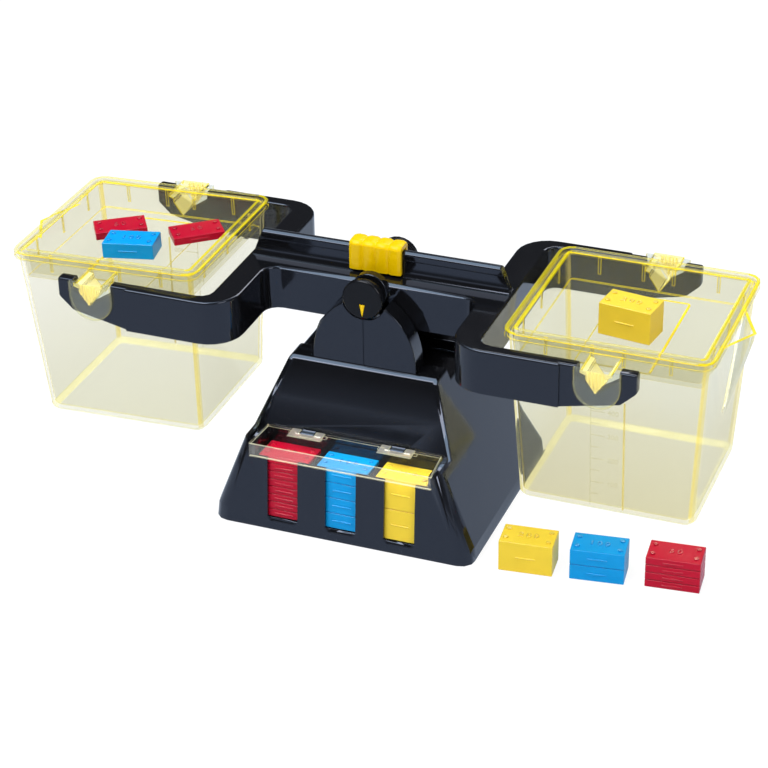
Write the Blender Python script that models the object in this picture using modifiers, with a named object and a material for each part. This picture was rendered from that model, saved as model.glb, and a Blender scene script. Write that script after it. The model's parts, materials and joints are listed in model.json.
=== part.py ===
"""Two-bucket balance scale with a tilting beam, a sliding zero rider and stacking masses.

Metres, +Z up. The origin is the centre of the base's footprint on the table, +X runs to the
right-hand bucket and -Y faces the user, where the mass store with its hinged cover is.
"""

import math

import bmesh
import bpy
from mathutils import Matrix, Vector

MM = 0.001

# Clearances
CLEARANCE = 0.3 * MM  # between pieces that touch, slide or turn on each other

# Base: a hollow pyramid with a mass store across its front
BASE_HEIGHT = 95.9 * MM
SKIRT_HEIGHT = 9.0 * MM
FOOT_HALF_WIDTH = 80.3 * MM
FOOT_HALF_DEPTH = 70.9 * MM
TOP_HALF_WIDTH = 45.8 * MM
TOP_HALF_DEPTH = 31.8 * MM
SKIRT_FLARE = 0.8 * MM
FRONT_FOOT_DEPTH = 71.5 * MM
FRONT_LEAN = 0.075  # the store's front panel leans back this much for each unit of height
BASE_CORNER = 9.0 * MM
TOP_CORNER = 2.0 * MM
BASE_WALL = 2.5 * MM
TOP_EDGE = 1.0 * MM
PLATE_THICKNESS = 2.0 * MM
LEDGE_HEIGHT = 55.8 * MM
CHEEK_WIDTH = 3.0 * MM
CREASE_HEIGHT = 73.0 * MM
PANEL_SINK = 0.7 * MM
PANEL_FOOT_SINK = 4.1 * MM
CHANNEL_HALF_WIDTH = 15.5 * MM
CHANNEL_DEPTH = 6.0 * MM

# Masses: the 20, 10 and 5 unit pieces share one outline and stack to the same height
MASS_LENGTH = 31.5 * MM
MASS_DEPTH = 19.0 * MM
MASS_UNIT_HEIGHT = 5.0 * MM
MASS_EDGE = 0.5 * MM
STUD_RADIUS = 1.1 * MM
STUD_HEIGHT = 0.6 * MM
STUD_X = 12.4 * MM
STUD_Y = 4.8 * MM
GRIP_LENGTH = 9.0 * MM
GRIP_SIZE = 0.5 * MM

# Mass store in the base; its bays lean back with the front panel
STORE_PITCH = 36.5 * MM
STORE_DIVIDER = 2.0 * MM
STORE_FLOOR = 7.0 * MM
STORE_WINDOW_HEIGHT = 46.5 * MM
STORE_FRONT_WALL = 1.6 * MM
STORE_DEPTH = 19.8 * MM
SLOT_WIDTH = 19.0 * MM
SLOT_SILL = 5.2 * MM
SLOT_CORNER = 3.0 * MM

# Cover of the mass store
COVER_HALF_WIDTH = 56.2 * MM
COVER_REAR_HALF_WIDTH = 54.4 * MM
COVER_THICKNESS = 1.6 * MM
COVER_FRONT_Y = -71.5 * MM
COVER_REAR_Y = -47.6 * MM
COVER_LIP_DROP = 9.2 * MM
COVER_RECESS_DEPTH = 1.5 * MM
HINGE_Y = -49.6 * MM
HINGE_Z = 54.2 * MM
HINGE_X = 28.0 * MM
HINGE_PIN_RADIUS = 1.0 * MM
HINGE_BARREL_RADIUS = 2.2 * MM
HINGE_LUG_WIDTH = 8.0 * MM
HINGE_KNUCKLE_WIDTH = 4.0 * MM
HINGE_TAB_DEPTH = 9.0 * MM
HINGE_TAB_RISE = 0.5 * MM

# Uprights that carry the beam
PIVOT_Z = 139.5 * MM
UPRIGHT_HALF_WIDTH = 32.0 * MM
UPRIGHT_RISE = 40.0 * MM
UPRIGHT_SPRING_Z = 98.0 * MM
UPRIGHT_FRONT_Y = 29.0 * MM
UPRIGHT_BACK_Y = 16.0 * MM
UPRIGHT_WALL = 2.2 * MM
SADDLE_RADIUS = 13.6 * MM
POST_HALF_WIDTH = 10.0 * MM
TENON_X = 20.0 * MM
TENON_LENGTH = 10.0 * MM
TENON_THICKNESS = 5.0 * MM
TENON_DEPTH = 5.0 * MM
INDEX_GROOVE_WIDTH = 0.9 * MM
INDEX_GROOVE_DEPTH = 0.6 * MM

# Bearing plates and pivot axle
BEARING_Y = 22.0 * MM
BEARING_THICKNESS = 2.0 * MM
BEARING_HALF_WIDTH = 7.0 * MM
BEARING_FOOT_Z = 113.0 * MM
BEARING_TOP_Z = 141.0 * MM
AXLE_RADIUS = 1.5 * MM
AXLE_HALF_LENGTH = 26.5 * MM

# Pointer discs
DISC_RADIUS = 12.3 * MM
DISC_FACE_Y = 31.0 * MM
DISC_BACK_Y = 27.5 * MM
DISC_EDGE = 0.7 * MM
DISC_BOSS_RADIUS = 11.0 * MM
DISC_BOSS_Y = 24.5 * MM
POINTER_WIDTH = 3.2 * MM
POINTER_LENGTH = 7.8 * MM
POINTER_TIP_RADIUS = 11.0 * MM
POINTER_SINK = 0.9 * MM

# Beam: a hollow moulding, open underneath, with a fork at each end
BEAM_TOP_Z = 143.7 * MM
BEAM_BOTTOM_Z = 116.6 * MM
BEAM_WALL = 2.2 * MM
BEAM_EDGE = 1.5 * MM
WEB_HALF_DEPTH = 15.0 * MM
CROSSBAR_INNER_X = 65.0 * MM
CROSSBAR_OUTER_X = 81.5 * MM
FORK_HALF_DEPTH = 72.4 * MM
PRONG_DEPTH = 8.9 * MM
FORK_INNER_HALF_DEPTH = FORK_HALF_DEPTH - PRONG_DEPTH
FORK_OUTER_CORNER = 20.0 * MM
FORK_INNER_CORNER = 7.0 * MM
WEB_FILLET = 9.0 * MM
PRONG_STEP_X = 130.6 * MM
PRONG_STEP = 1.5 * MM
PRONG_TIP_X = 174.0 * MM
PRONG_TIP_CORNER = 1.6 * MM
PRONG_KNEE_X = 165.0 * MM
PRONG_KNEE_Z = 124.0 * MM
PRONG_CHIN_Z = 132.5 * MM
HUB_RADIUS = 11.0 * MM
HUB_Y = 19.5 * MM

# Knife-edge seats in the fork
SEAT_X = 152.0 * MM
SEAT_Z = 130.0 * MM
SEAT_SHOULDER_Z = 138.0 * MM
SEAT_HALF_WIDTH = 12.0 * MM

# Rail along the top of the beam, and the rider on it
RAIL_TOP_Z = BEAM_TOP_Z + 15.7 * MM
RAIL_HEAD_Z = RAIL_TOP_Z - 5.1 * MM
RAIL_HEAD_HALF_WIDTH = 3.0 * MM
RAIL_STEM_HALF_WIDTH = 2.2 * MM
RAIL_FOOT_HALF_WIDTH = 4.0 * MM
RAIL_FOOT_RISE = 2.5 * MM
RAIL_EDGE = 0.8 * MM
RAIL_TOP_HALF_LENGTH = 73.5 * MM
RAIL_FOOT_HALF_LENGTH = 79.5 * MM
RIDER_CENTRE_X = -1.5 * MM
RIDER_RIBS = 4
RIDER_PITCH = 8.0 * MM
RIDER_HALF_WIDTH = 6.7 * MM
RIDER_TOP_Z = RAIL_TOP_Z + 5.4 * MM
RIDER_SKIRT_Z = RIDER_TOP_Z - 17.9 * MM
RIDER_SHOULDER = 3.6 * MM
RIDER_BULGE = 1.0 * MM

# Buckets
BUCKET_FLOOR_Z = 38.8 * MM
BUCKET_RIM_Z = 147.5 * MM
BUCKET_FLOOR_HALF_X = 51.7 * MM
BUCKET_RIM_HALF_Y = FORK_INNER_HALF_DEPTH - 8.6 * MM
BUCKET_FLOOR_HALF_Y = BUCKET_RIM_HALF_Y - 7.9 * MM
BUCKET_RIM_HALF_X = 57.7 * MM
BUCKET_WALL = 2.0 * MM
BUCKET_CORNER = 6.5 * MM
BUCKET_CHAMFER = 2.5 * MM
SPOUT_START_Z = 86.0 * MM
SPOUT_LIP_Z = 142.0 * MM
SPOUT_REACH = 12.5 * MM
SPOUT_HALF_WIDTH = 25.0 * MM
SPOUT_RIM_DROP = 3.6 * MM
KNIFE_EDGE_Z = 130.3 * MM
KNIFE_HALF_WIDTH = 5.9 * MM
KNIFE_SHOULDER_Z = 138.7 * MM
KNIFE_TOP_Z = 144.2 * MM
KNIFE_HEAD_HALF_WIDTH = 9.0 * MM
KNIFE_HEAD_THICKNESS = 2.0 * MM
KNIFE_NECK_Z = 141.0 * MM
KNIFE_Y = FORK_HALF_DEPTH + 2.5 * MM
HANGER_HALF_WIDTH = 13.3 * MM
HANGER_FACE_Y = FORK_HALF_DEPTH + 0.9 * MM
HANGER_THICKNESS = 2.0 * MM
HANGER_FOOT_Z = 120.0 * MM
LEFT_BUCKET_LEAN = math.radians(-2.0)

# Lids: shallow trays that close the buckets
LID_CLEARANCE = 6.25 * MM
LID_HALF_X = 60.0 * MM
LID_HALF_Y = FORK_INNER_HALF_DEPTH - LID_CLEARANCE
LID_CORNER = 8.5 * MM
LID_TOP_Z = 149.6 * MM
LID_SKIRT_Z = 144.6 * MM
LID_WALL = 1.8 * MM
LID_RIM_WIDTH = 7.3 * MM
LID_BEAD = 0.6 * MM
LID_BEAD_WIDTH = 1.2 * MM
LID_TRAY_FLOOR_Z = 132.8 * MM
LID_TRAY_DRAFT = 1.2 * MM
LID_PAD_HALF_X = 21.5 * MM
LID_PAD_HALF_Y = 43.5 * MM
LID_PAD_DROP = 0.8 * MM

# Smoothness
CORNER_STEPS = 3
ROUND_SIDES = 24
SMALL_ROUND_SIDES = 12


def clear_scene():
    """Start from an empty scene."""
    for item in list(bpy.data.objects):
        bpy.data.objects.remove(item, do_unlink=True)


def make_material(name, colour, roughness=0.3, metallic=0.0, alpha=1.0):
    """A Principled material with the piece's colour."""
    material = bpy.data.materials.new(name)
    material.use_nodes = True
    shader = material.node_tree.nodes["Principled BSDF"]
    shader.inputs["Base Color"].default_value = (*colour, 1.0)
    shader.inputs["Roughness"].default_value = roughness
    shader.inputs["Metallic"].default_value = metallic
    shader.inputs["Alpha"].default_value = alpha
    material.diffuse_color = (*colour, alpha)
    return material


def link(obj, collection_name="balance_scale"):
    """Put an object in the named collection, which is made at first use."""
    collection = bpy.data.collections.get(collection_name)
    if collection is None:
        collection = bpy.data.collections.new(collection_name)
        bpy.context.scene.collection.children.link(collection)
    collection.objects.link(obj)
    return obj


def mesh_piece(name, bm):
    """Turn a bmesh into an object with outward faces."""
    bmesh.ops.recalc_face_normals(bm, faces=bm.faces)
    mesh = bpy.data.meshes.new(name)
    bm.to_mesh(mesh)
    bm.free()
    return link(bpy.data.objects.new(name, mesh))


def loft(name, rings):
    """A closed solid through rings of the same number of points, in order."""
    bm = bmesh.new()
    rows = [[bm.verts.new(point) for point in ring] for ring in rings]
    count = len(rows[0])
    for lower, upper in zip(rows, rows[1:]):
        for i in range(count):
            j = (i + 1) % count
            bm.faces.new((lower[i], lower[j], upper[j], upper[i]))
    bm.faces.new(rows[0][::-1])
    bm.faces.new(rows[-1])
    return mesh_piece(name, bm)


def box(name, low, high):
    """A box between two corners."""
    bm = bmesh.new()
    bmesh.ops.create_cube(bm, size=1.0)
    size = Vector(high) - Vector(low)
    centre = (Vector(high) + Vector(low)) / 2
    bmesh.ops.scale(bm, vec=size, verts=bm.verts)
    bmesh.ops.translate(bm, vec=centre, verts=bm.verts)
    return mesh_piece(name, bm)


def cylinder(name, radius, start, end, sides=ROUND_SIDES):
    """A round bar between two points."""
    start, end = Vector(start), Vector(end)
    bm = bmesh.new()
    bmesh.ops.create_cone(bm, cap_ends=True, segments=sides, radius1=radius, radius2=radius,
                          depth=(end - start).length)
    turn = Vector((0, 0, 1)).rotation_difference(end - start).to_matrix().to_4x4()
    place = Matrix.Translation((start + end) / 2)
    bmesh.ops.transform(bm, matrix=place @ turn, verts=bm.verts)
    return mesh_piece(name, bm)


def turned(name, profile, sides=ROUND_SIDES):
    """A shape turned round the Y axis from (radius, y) points, given from back to front."""
    mesh = bpy.data.meshes.new(name)
    points = [(radius, 0.0, height) for radius, height in profile]
    mesh.from_pydata(points, [(i, i + 1) for i in range(len(points) - 1)], [])
    obj = link(bpy.data.objects.new(name, mesh))
    screw = obj.modifiers.new("turn", "SCREW")
    screw.axis = "Z"
    screw.steps = sides
    screw.render_steps = sides
    screw.use_merge_vertices = True
    screw.merge_threshold = 0.01 * MM
    screw.use_normal_calculate = True
    settle(obj)
    obj.data.transform(Matrix.Rotation(math.radians(90), 4, "X"))
    return outward(obj)


def outward(obj):
    """Turn an object's faces outwards."""
    bm = bmesh.new()
    bm.from_mesh(obj.data)
    bmesh.ops.remove_doubles(bm, verts=bm.verts, dist=0.001 * MM)
    bmesh.ops.recalc_face_normals(bm, faces=bm.faces)
    bm.to_mesh(obj.data)
    bm.free()
    return obj


PLANES = {
    "XY": Matrix.Identity(4),
    "XZ": Matrix.Rotation(math.radians(90), 4, "X"),
    "YZ": Matrix.Rotation(math.radians(90), 4, "Z") @ Matrix.Rotation(math.radians(90), 4, "X"),
}


def plate(name, outline, plane, low, high):
    """A flat outline in a plane, thickened between two places along the plane's normal axis."""
    curve = bpy.data.curves.new(name, "CURVE")
    curve.dimensions = "2D"
    curve.fill_mode = "BOTH"
    curve.extrude = abs(high - low) / 2
    spline = curve.splines.new("POLY")
    spline.points.add(len(outline) - 1)
    for point, (u, v) in zip(spline.points, outline):
        point.co = (u, v, 0.0, 1.0)
    spline.use_cyclic_u = True
    drawn = link(bpy.data.objects.new(name, curve))
    turn = PLANES[plane]
    axis = {"XY": Vector((0, 0, 1)), "XZ": Vector((0, 1, 0)), "YZ": Vector((1, 0, 0))}[plane]
    place = Matrix.Translation(axis * (low + high) / 2) @ turn
    mesh = evaluated_mesh(drawn)
    bpy.data.objects.remove(drawn, do_unlink=True)
    mesh.transform(place)
    return outward(link(bpy.data.objects.new(name, mesh)))


def evaluated_mesh(obj):
    """A new mesh of an object with its modifiers applied."""
    bpy.context.view_layer.update()
    depsgraph = bpy.context.evaluated_depsgraph_get()
    return bpy.data.meshes.new_from_object(obj.evaluated_get(depsgraph))


def settle(obj):
    """Apply an object's modifiers to its mesh."""
    mesh = evaluated_mesh(obj)
    obj.modifiers.clear()
    obj.data = mesh
    return obj


def combine(target, tools, operation):
    """Join the tools to the target or cut them out of it, and use them up."""
    for tool in tools:
        tool.hide_render = True
        tool.display_type = "WIRE"
        modifier = target.modifiers.new(operation.lower(), "BOOLEAN")
        modifier.operation = operation
        modifier.solver = "EXACT"
        modifier.object = tool
    settle(target)
    for tool in tools:
        bpy.data.objects.remove(tool, do_unlink=True)
    return target


def cut(target, *tools):
    """Cut tools out of a piece."""
    return combine(target, tools, "DIFFERENCE")


def join(target, *tools):
    """Fuse tools with a piece."""
    return combine(target, tools, "UNION")


def copy_of(obj, name, matrix):
    """A copy of a piece at another place, with its own mesh."""
    mesh = obj.data.copy()
    mesh.transform(matrix)
    if matrix.determinant() < 0:
        mesh.flip_normals()
    return link(bpy.data.objects.new(name, mesh))


def finish(obj, material, parent=None):
    """Give a piece its material, smooth its round faces and hang it on its joint."""
    obj.data.materials.clear()
    obj.data.materials.append(material)
    obj.data.shade_smooth()
    obj.data.set_sharp_from_angle(angle=math.radians(35))
    if parent is not None:
        obj.data.transform(Matrix.Translation(-parent.location))
        obj.parent = parent
    return obj


def joint_frame(name, location):
    """An empty on a joint's axis, which carries the pieces that move with it."""
    empty = bpy.data.objects.new(name, None)
    empty.location = location
    empty.empty_display_size = 10 * MM
    return link(empty)


def rounded_rectangle(x_low, x_high, y_low, y_high, radius, steps=CORNER_STEPS):
    """A rectangle's outline with round corners, anticlockwise from the +X side."""
    corners = [(x_high, y_high, 0), (x_low, y_high, 90), (x_low, y_low, 180), (x_high, y_low, 270)]
    outline = []
    for x, y, start in corners:
        centre_x = x - math.copysign(radius, x - (x_low + x_high) / 2)
        centre_y = y - math.copysign(radius, y - (y_low + y_high) / 2)
        outline += arc(centre_x, centre_y, radius, start, start + 90, steps)
    return outline


def arc(x, y, radius, start, end, steps):
    """Points along an arc, its angles in degrees."""
    angles = [math.radians(start + (end - start) * i / steps) for i in range(steps + 1)]
    return [(x + radius * math.cos(a), y + radius * math.sin(a)) for a in angles]


def at_height(outline, z):
    """An outline lifted to a height."""
    return [(x, y, z) for x, y in outline]


def between(start, end, share):
    """The value a share of the way from start to end."""
    return start + (end - start) * share


# Base


def base_share(z):
    """How far a height lies up the pyramid, from the skirt to the top."""
    return max(z - SKIRT_HEIGHT, 0.0) / (BASE_HEIGHT - SKIRT_HEIGHT)


def base_half_width(z):
    """The pyramid's half width at a height."""
    return between(FOOT_HALF_WIDTH, TOP_HALF_WIDTH, base_share(z))


def base_half_depth(z):
    """The pyramid's half depth at a height."""
    return between(FOOT_HALF_DEPTH, TOP_HALF_DEPTH, base_share(z))


def store_front_y(z):
    """The outer face of the store's front panel."""
    return -FRONT_FOOT_DEPTH + FRONT_LEAN * max(z - SKIRT_HEIGHT, 0.0)


def base_ring(z, inset):
    """The base's outline at a height, drawn in by an inset; the skirt flares to its foot."""
    grow = SKIRT_FLARE * max(1.0 - z / SKIRT_HEIGHT, 0.0) - inset
    radius = max(between(BASE_CORNER, TOP_CORNER, base_share(z)) - inset, 1.0 * MM)
    outline = rounded_rectangle(-base_half_width(z) - grow, base_half_width(z) + grow,
                                store_front_y(z) - grow, base_half_depth(z) + grow, radius)
    return at_height(outline, z)


def panel_profile(shift=0.0):
    """The sunk panel between the cheeks as (y, z) points, from the store up to the top."""
    crease_y = -base_half_depth(CREASE_HEIGHT) + PANEL_SINK
    foot_y = -base_half_depth(LEDGE_HEIGHT) + PANEL_FOOT_SINK
    head_z = BASE_HEIGHT + BASE_WALL
    head_y = -base_half_depth(head_z) + PANEL_SINK
    floor_z = LEDGE_HEIGHT - COVER_RECESS_DEPTH
    return [(foot_y + shift, floor_z), (crease_y + shift, CREASE_HEIGHT), (head_y + shift, head_z)]


# The store's frame stands at the foot of the front panel's inner face and leans with it
STORE_LEAN = math.atan(FRONT_LEAN)
STORE_FOOT = Vector((0.0, store_front_y(STORE_FLOOR) + STORE_FRONT_WALL, STORE_FLOOR))
STORE_FRAME = Matrix.Translation(STORE_FOOT) @ Matrix.Rotation(-STORE_LEAN, 4, "X")
STORE_RISE = (STORE_WINDOW_HEIGHT - STORE_FLOOR) / math.cos(STORE_LEAN)
STORE_LEDGE_RISE = (LEDGE_HEIGHT - STORE_FLOOR) / math.cos(STORE_LEAN)
STORE_BACK_Y = (STORE_FRAME @ Vector((0.0, STORE_DEPTH, STORE_LEDGE_RISE))).y
STORE_HALF_WIDTH = 1.5 * STORE_PITCH - STORE_DIVIDER / 2
# Room for the cover's rear corners, which dip below the ledge as it opens
RELIEF_HALF_WIDTH = max(COVER_REAR_HALF_WIDTH + 2 * CLEARANCE, STORE_HALF_WIDTH)
RELIEF_REACH = math.hypot(COVER_REAR_Y - HINGE_Y,
                          LEDGE_HEIGHT - COVER_RECESS_DEPTH + COVER_THICKNESS + HINGE_TAB_RISE
                          - HINGE_Z + CLEARANCE) + CLEARANCE
RELIEF_BACK_Y = max(STORE_BACK_Y, HINGE_Y + RELIEF_REACH)
FAR = 200 * MM  # reach of a cutter that runs past the piece


def store_box(name, low, high):
    """A box in the store's leaning frame, from its front face back and from its floor up."""
    block = box(name, low, high)
    block.data.transform(STORE_FRAME)
    return block


def base_interior():
    """The hollow inside the base, open underneath."""
    roof = BASE_HEIGHT - BASE_WALL
    rings = [base_ring(z, BASE_WALL) for z in (-BASE_WALL, SKIRT_HEIGHT, roof)]
    hollow = loft("interior", rings)
    panel = panel_profile(BASE_WALL)
    ledge = LEDGE_HEIGHT - COVER_RECESS_DEPTH - BASE_WALL
    front = [(-FAR, ledge), (panel[0][0], ledge), *panel, (-FAR, panel[-1][1])]
    reach = RELIEF_HALF_WIDTH + BASE_WALL
    store = store_box("store_block", (-reach, -FAR, -BASE_WALL),
                      (reach, STORE_DEPTH + BASE_WALL, FAR))
    channel = box("channel_block",
                  (-FAR, -CHANNEL_HALF_WIDTH - BASE_WALL, BASE_HEIGHT - CHANNEL_DEPTH - BASE_WALL),
                  (FAR, CHANNEL_HALF_WIDTH + BASE_WALL, FAR))
    return cut(hollow, plate("front_block", front, "YZ", -FAR, FAR), store, channel)


def recess_cutter():
    """The room in front of the sunk panel, between the cheeks."""
    rings = []
    for y, z in panel_profile():
        half = base_half_width(z) - CHEEK_WIDTH
        rings.append([(half, y, z), (-half, y, z), (-half, -FAR, z), (half, -FAR, z)])
    return loft("recess", rings)


SLOT_SHEAR = Matrix.Shear("XY", 4, (0.0, FRONT_LEAN))


def front_slot(x):
    """A slot in the front panel, through which one stack of masses shows."""
    half = SLOT_WIDTH / 2
    outline = arc(x - half + SLOT_CORNER, SLOT_SILL + SLOT_CORNER, SLOT_CORNER, 180, 270, 3)
    outline += arc(x + half - SLOT_CORNER, SLOT_SILL + SLOT_CORNER, SLOT_CORNER, 270, 360, 3)
    outline += [(x + half, LEDGE_HEIGHT), (x - half, LEDGE_HEIGHT)]
    slot = plate("slot", outline, "XZ", -FAR, STORE_FOOT.y)
    slot.data.transform(Matrix.Translation(STORE_FOOT) @ SLOT_SHEAR @ Matrix.Translation(-STORE_FOOT))
    return slot


def hinge_lug(x):
    """A lug on the store's back wall, which holds a hinge pin."""
    outline = arc(HINGE_Y, HINGE_Z, HINGE_BARREL_RADIUS, 90, 270, 6)
    root_y = STORE_BACK_Y + BASE_WALL / 2
    outline += [(root_y, HINGE_Z - HINGE_BARREL_RADIUS), (root_y, HINGE_Z + HINGE_BARREL_RADIUS)]
    return plate("lug", outline, "YZ", x - HINGE_LUG_WIDTH / 2, x + HINGE_LUG_WIDTH / 2)


def hinge_bore(x):
    """The hole for a hinge pin."""
    half = HINGE_LUG_WIDTH + HINGE_KNUCKLE_WIDTH
    return cylinder("bore", HINGE_PIN_RADIUS + CLEARANCE, (x - half, HINGE_Y, HINGE_Z),
                    (x + half, HINGE_Y, HINGE_Z), SMALL_ROUND_SIDES)


def tenon_box(name, x, side, grow=0.0):
    """A tenon under an upright, or with grow the mortise for it in the base."""
    middle = side * (UPRIGHT_FRONT_Y + UPRIGHT_BACK_Y) / 2
    top = BASE_HEIGHT + CLEARANCE + UPRIGHT_WALL / 2
    return box(name,
               (x - TENON_LENGTH / 2 - grow, middle - TENON_THICKNESS / 2 - grow,
                BASE_HEIGHT - TENON_DEPTH - grow),
               (x + TENON_LENGTH / 2 + grow, middle + TENON_THICKNESS / 2 + grow, top))


def build_base(black):
    """The hollow base moulding and the plate that closes it underneath."""
    levels = [(0.0, 0.0), (SKIRT_HEIGHT, 0.0), (BASE_HEIGHT - TOP_EDGE, 0.0), (BASE_HEIGHT, TOP_EDGE)]
    shell = loft("base_shell", [base_ring(z, inset) for z, inset in levels])
    cheek_top = BASE_HEIGHT + BASE_WALL
    wedge = [(-FAR, LEDGE_HEIGHT), (-base_half_depth(LEDGE_HEIGHT), LEDGE_HEIGHT),
             (-base_half_depth(cheek_top), cheek_top), (-FAR, cheek_top)]
    cut(shell, base_interior(), plate("wedge", wedge, "YZ", -FAR, FAR), recess_cutter())
    channel = box("channel", (-FAR, -CHANNEL_HALF_WIDTH, BASE_HEIGHT - CHANNEL_DEPTH),
                  (FAR, CHANNEL_HALF_WIDTH, FAR))
    cover_seat = box("cover_seat",
                     (-COVER_HALF_WIDTH - 4 * CLEARANCE, -FAR, LEDGE_HEIGHT - COVER_RECESS_DEPTH),
                     (COVER_HALF_WIDTH + 4 * CLEARANCE, STORE_BACK_Y, LEDGE_HEIGHT + CLEARANCE))
    window = store_box("window", (-STORE_HALF_WIDTH, -FAR, STORE_RISE),
                       (STORE_HALF_WIDTH, STORE_DEPTH, STORE_LEDGE_RISE))
    relief = box("relief", (-RELIEF_HALF_WIDTH, HINGE_Y - RELIEF_REACH, HINGE_Z - RELIEF_REACH),
                 (RELIEF_HALF_WIDTH, RELIEF_BACK_Y, LEDGE_HEIGHT))
    cut(shell, channel, cover_seat, window, relief)
    for column in (-1, 0, 1):
        x = column * STORE_PITCH
        half = (STORE_PITCH - STORE_DIVIDER) / 2
        bay = store_box("bay", (x - half, 0.0, 0.0), (x + half, STORE_DEPTH, STORE_RISE + CLEARANCE))
        cut(shell, bay)
        cut(shell, front_slot(x))
    for x in (-HINGE_X, HINGE_X):
        join(shell, hinge_lug(x))
        cut(shell, hinge_bore(x))
    for side in (-1, 1):
        for x in (-TENON_X, TENON_X):
            cut(shell, tenon_box("mortise", x, side, CLEARANCE))
    finish(shell, black)
    reach = BASE_WALL + 2 * CLEARANCE
    outline = [(x, y) for x, y, _ in base_ring(0.0, reach)]
    finish(plate("base_plate", outline, "XY", 0.0, PLATE_THICKNESS), black)


def build_hinge_pins(steel):
    """The pins on which the cover turns."""
    half = HINGE_LUG_WIDTH / 2 + HINGE_KNUCKLE_WIDTH
    for name, x in (("left_hinge_pin", -HINGE_X), ("right_hinge_pin", HINGE_X)):
        pin = cylinder(name, HINGE_PIN_RADIUS, (x - half, HINGE_Y, HINGE_Z),
                       (x + half, HINGE_Y, HINGE_Z), SMALL_ROUND_SIDES)
        finish(pin, steel)


def build_cover(clear):
    """The clear cover of the mass store, with its knuckles round the hinge pins."""
    frame = joint_frame("cover_hinge", (0, HINGE_Y, HINGE_Z))
    low = LEDGE_HEIGHT - COVER_RECESS_DEPTH + CLEARANCE
    high = low + COVER_THICKNESS
    outline = [(-COVER_HALF_WIDTH, COVER_FRONT_Y), (COVER_HALF_WIDTH, COVER_FRONT_Y),
               (COVER_REAR_HALF_WIDTH, COVER_REAR_Y), (-COVER_REAR_HALF_WIDTH, COVER_REAR_Y)]
    cover = plate("storage_cover", outline, "XY", low, high)
    lip = box("lip", (-COVER_HALF_WIDTH, COVER_FRONT_Y, high - COVER_LIP_DROP),
              (COVER_HALF_WIDTH, COVER_FRONT_Y + COVER_THICKNESS, high - COVER_THICKNESS / 2))
    join(cover, lip)
    notch_half = HINGE_LUG_WIDTH / 2 + 2 * CLEARANCE
    tab_half = notch_half + HINGE_KNUCKLE_WIDTH + COVER_THICKNESS
    for x in (-HINGE_X, HINGE_X):
        tab = box("tab", (x - tab_half, COVER_REAR_Y - HINGE_TAB_DEPTH, high - COVER_THICKNESS / 2),
                  (x + tab_half, COVER_REAR_Y, high + HINGE_TAB_RISE))
        join(cover, tab)
        for side in (-1, 1):
            start = x + side * notch_half
            knuckle = cylinder("knuckle", HINGE_BARREL_RADIUS, (start, HINGE_Y, HINGE_Z),
                               (start + side * HINGE_KNUCKLE_WIDTH, HINGE_Y, HINGE_Z),
                               SMALL_ROUND_SIDES)
            join(cover, knuckle)
        notch_front = HINGE_Y - HINGE_BARREL_RADIUS - 2 * CLEARANCE
        notch = box("notch", (x - notch_half, notch_front, low - CLEARANCE),
                    (x + notch_half, FAR, high + COVER_THICKNESS))
        cut(cover, notch, hinge_bore(x))
    finish(cover, clear, frame)


# Masses


def mass_piece(units):
    """One mass of some units of height, standing on its origin, with nesting studs and pits."""
    height = units * MASS_UNIT_HEIGHT - CLEARANCE
    half_x, half_y = MASS_LENGTH / 2, MASS_DEPTH / 2
    outline = [(half_x, half_y), (-half_x, half_y), (-half_x, -half_y), (half_x, -half_y)]
    drawn_in = [(math.copysign(abs(x) - MASS_EDGE, x), math.copysign(abs(y) - MASS_EDGE, y))
                for x, y in outline]
    body = loft("mass", [at_height(outline, 0.0), at_height(outline, height - MASS_EDGE),
                         at_height(drawn_in, height)])
    grip_z = height / 2
    grip = box("grip", (-GRIP_LENGTH / 2, -half_y - GRIP_SIZE, grip_z - GRIP_SIZE / 2),
               (GRIP_LENGTH / 2, -half_y + GRIP_SIZE, grip_z + GRIP_SIZE / 2))
    join(body, grip)
    for x in (-STUD_X, STUD_X):
        for y in (-STUD_Y, STUD_Y):
            stud = cylinder("stud", STUD_RADIUS, (x, y, height - STUD_HEIGHT),
                            (x, y, height + STUD_HEIGHT), 6)
            pit = cylinder("pit", STUD_RADIUS + 2 * CLEARANCE, (x, y, -STUD_HEIGHT),
                           (x, y, STUD_HEIGHT + CLEARANCE), 6)
            join(body, stud)
            cut(body, pit)
    return body


def build_mass_meshes(colours):
    """The shared mesh of each kind of mass, by its colour."""
    meshes = {}
    for colour, material in colours.items():
        pattern = finish(mass_piece(MASS_UNITS[colour]), material)
        meshes[colour] = pattern.data
        bpy.data.objects.remove(pattern, do_unlink=True)
    return meshes


def put_mass(name, mesh, frame, parent=None):
    """Stand a mass in a frame, given by its matrix."""
    mass = link(bpy.data.objects.new(name, mesh))
    if parent is not None:
        frame = Matrix.Translation(-parent.location) @ frame
        mass.parent = parent
    mass.matrix_basis = frame


def put_stack(name, meshes, colour, total, frame, parent=None):
    """Stand a stack of one colour's masses, some units high in all, in a frame."""
    units = MASS_UNITS[colour]
    count = round(total / units)
    for level in range(count):
        label = f"{name}_{level + 1}" if count > 1 else name
        lift = Matrix.Translation((0, 0, level * units * MASS_UNIT_HEIGHT))
        put_mass(label, meshes[colour], frame @ lift, parent)


def standing(x, y, z, degrees):
    """The frame of a piece that stands at a point, turned about the vertical."""
    return Matrix.Translation((x, y, z)) @ Matrix.Rotation(math.radians(degrees), 4, "Z")


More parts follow.
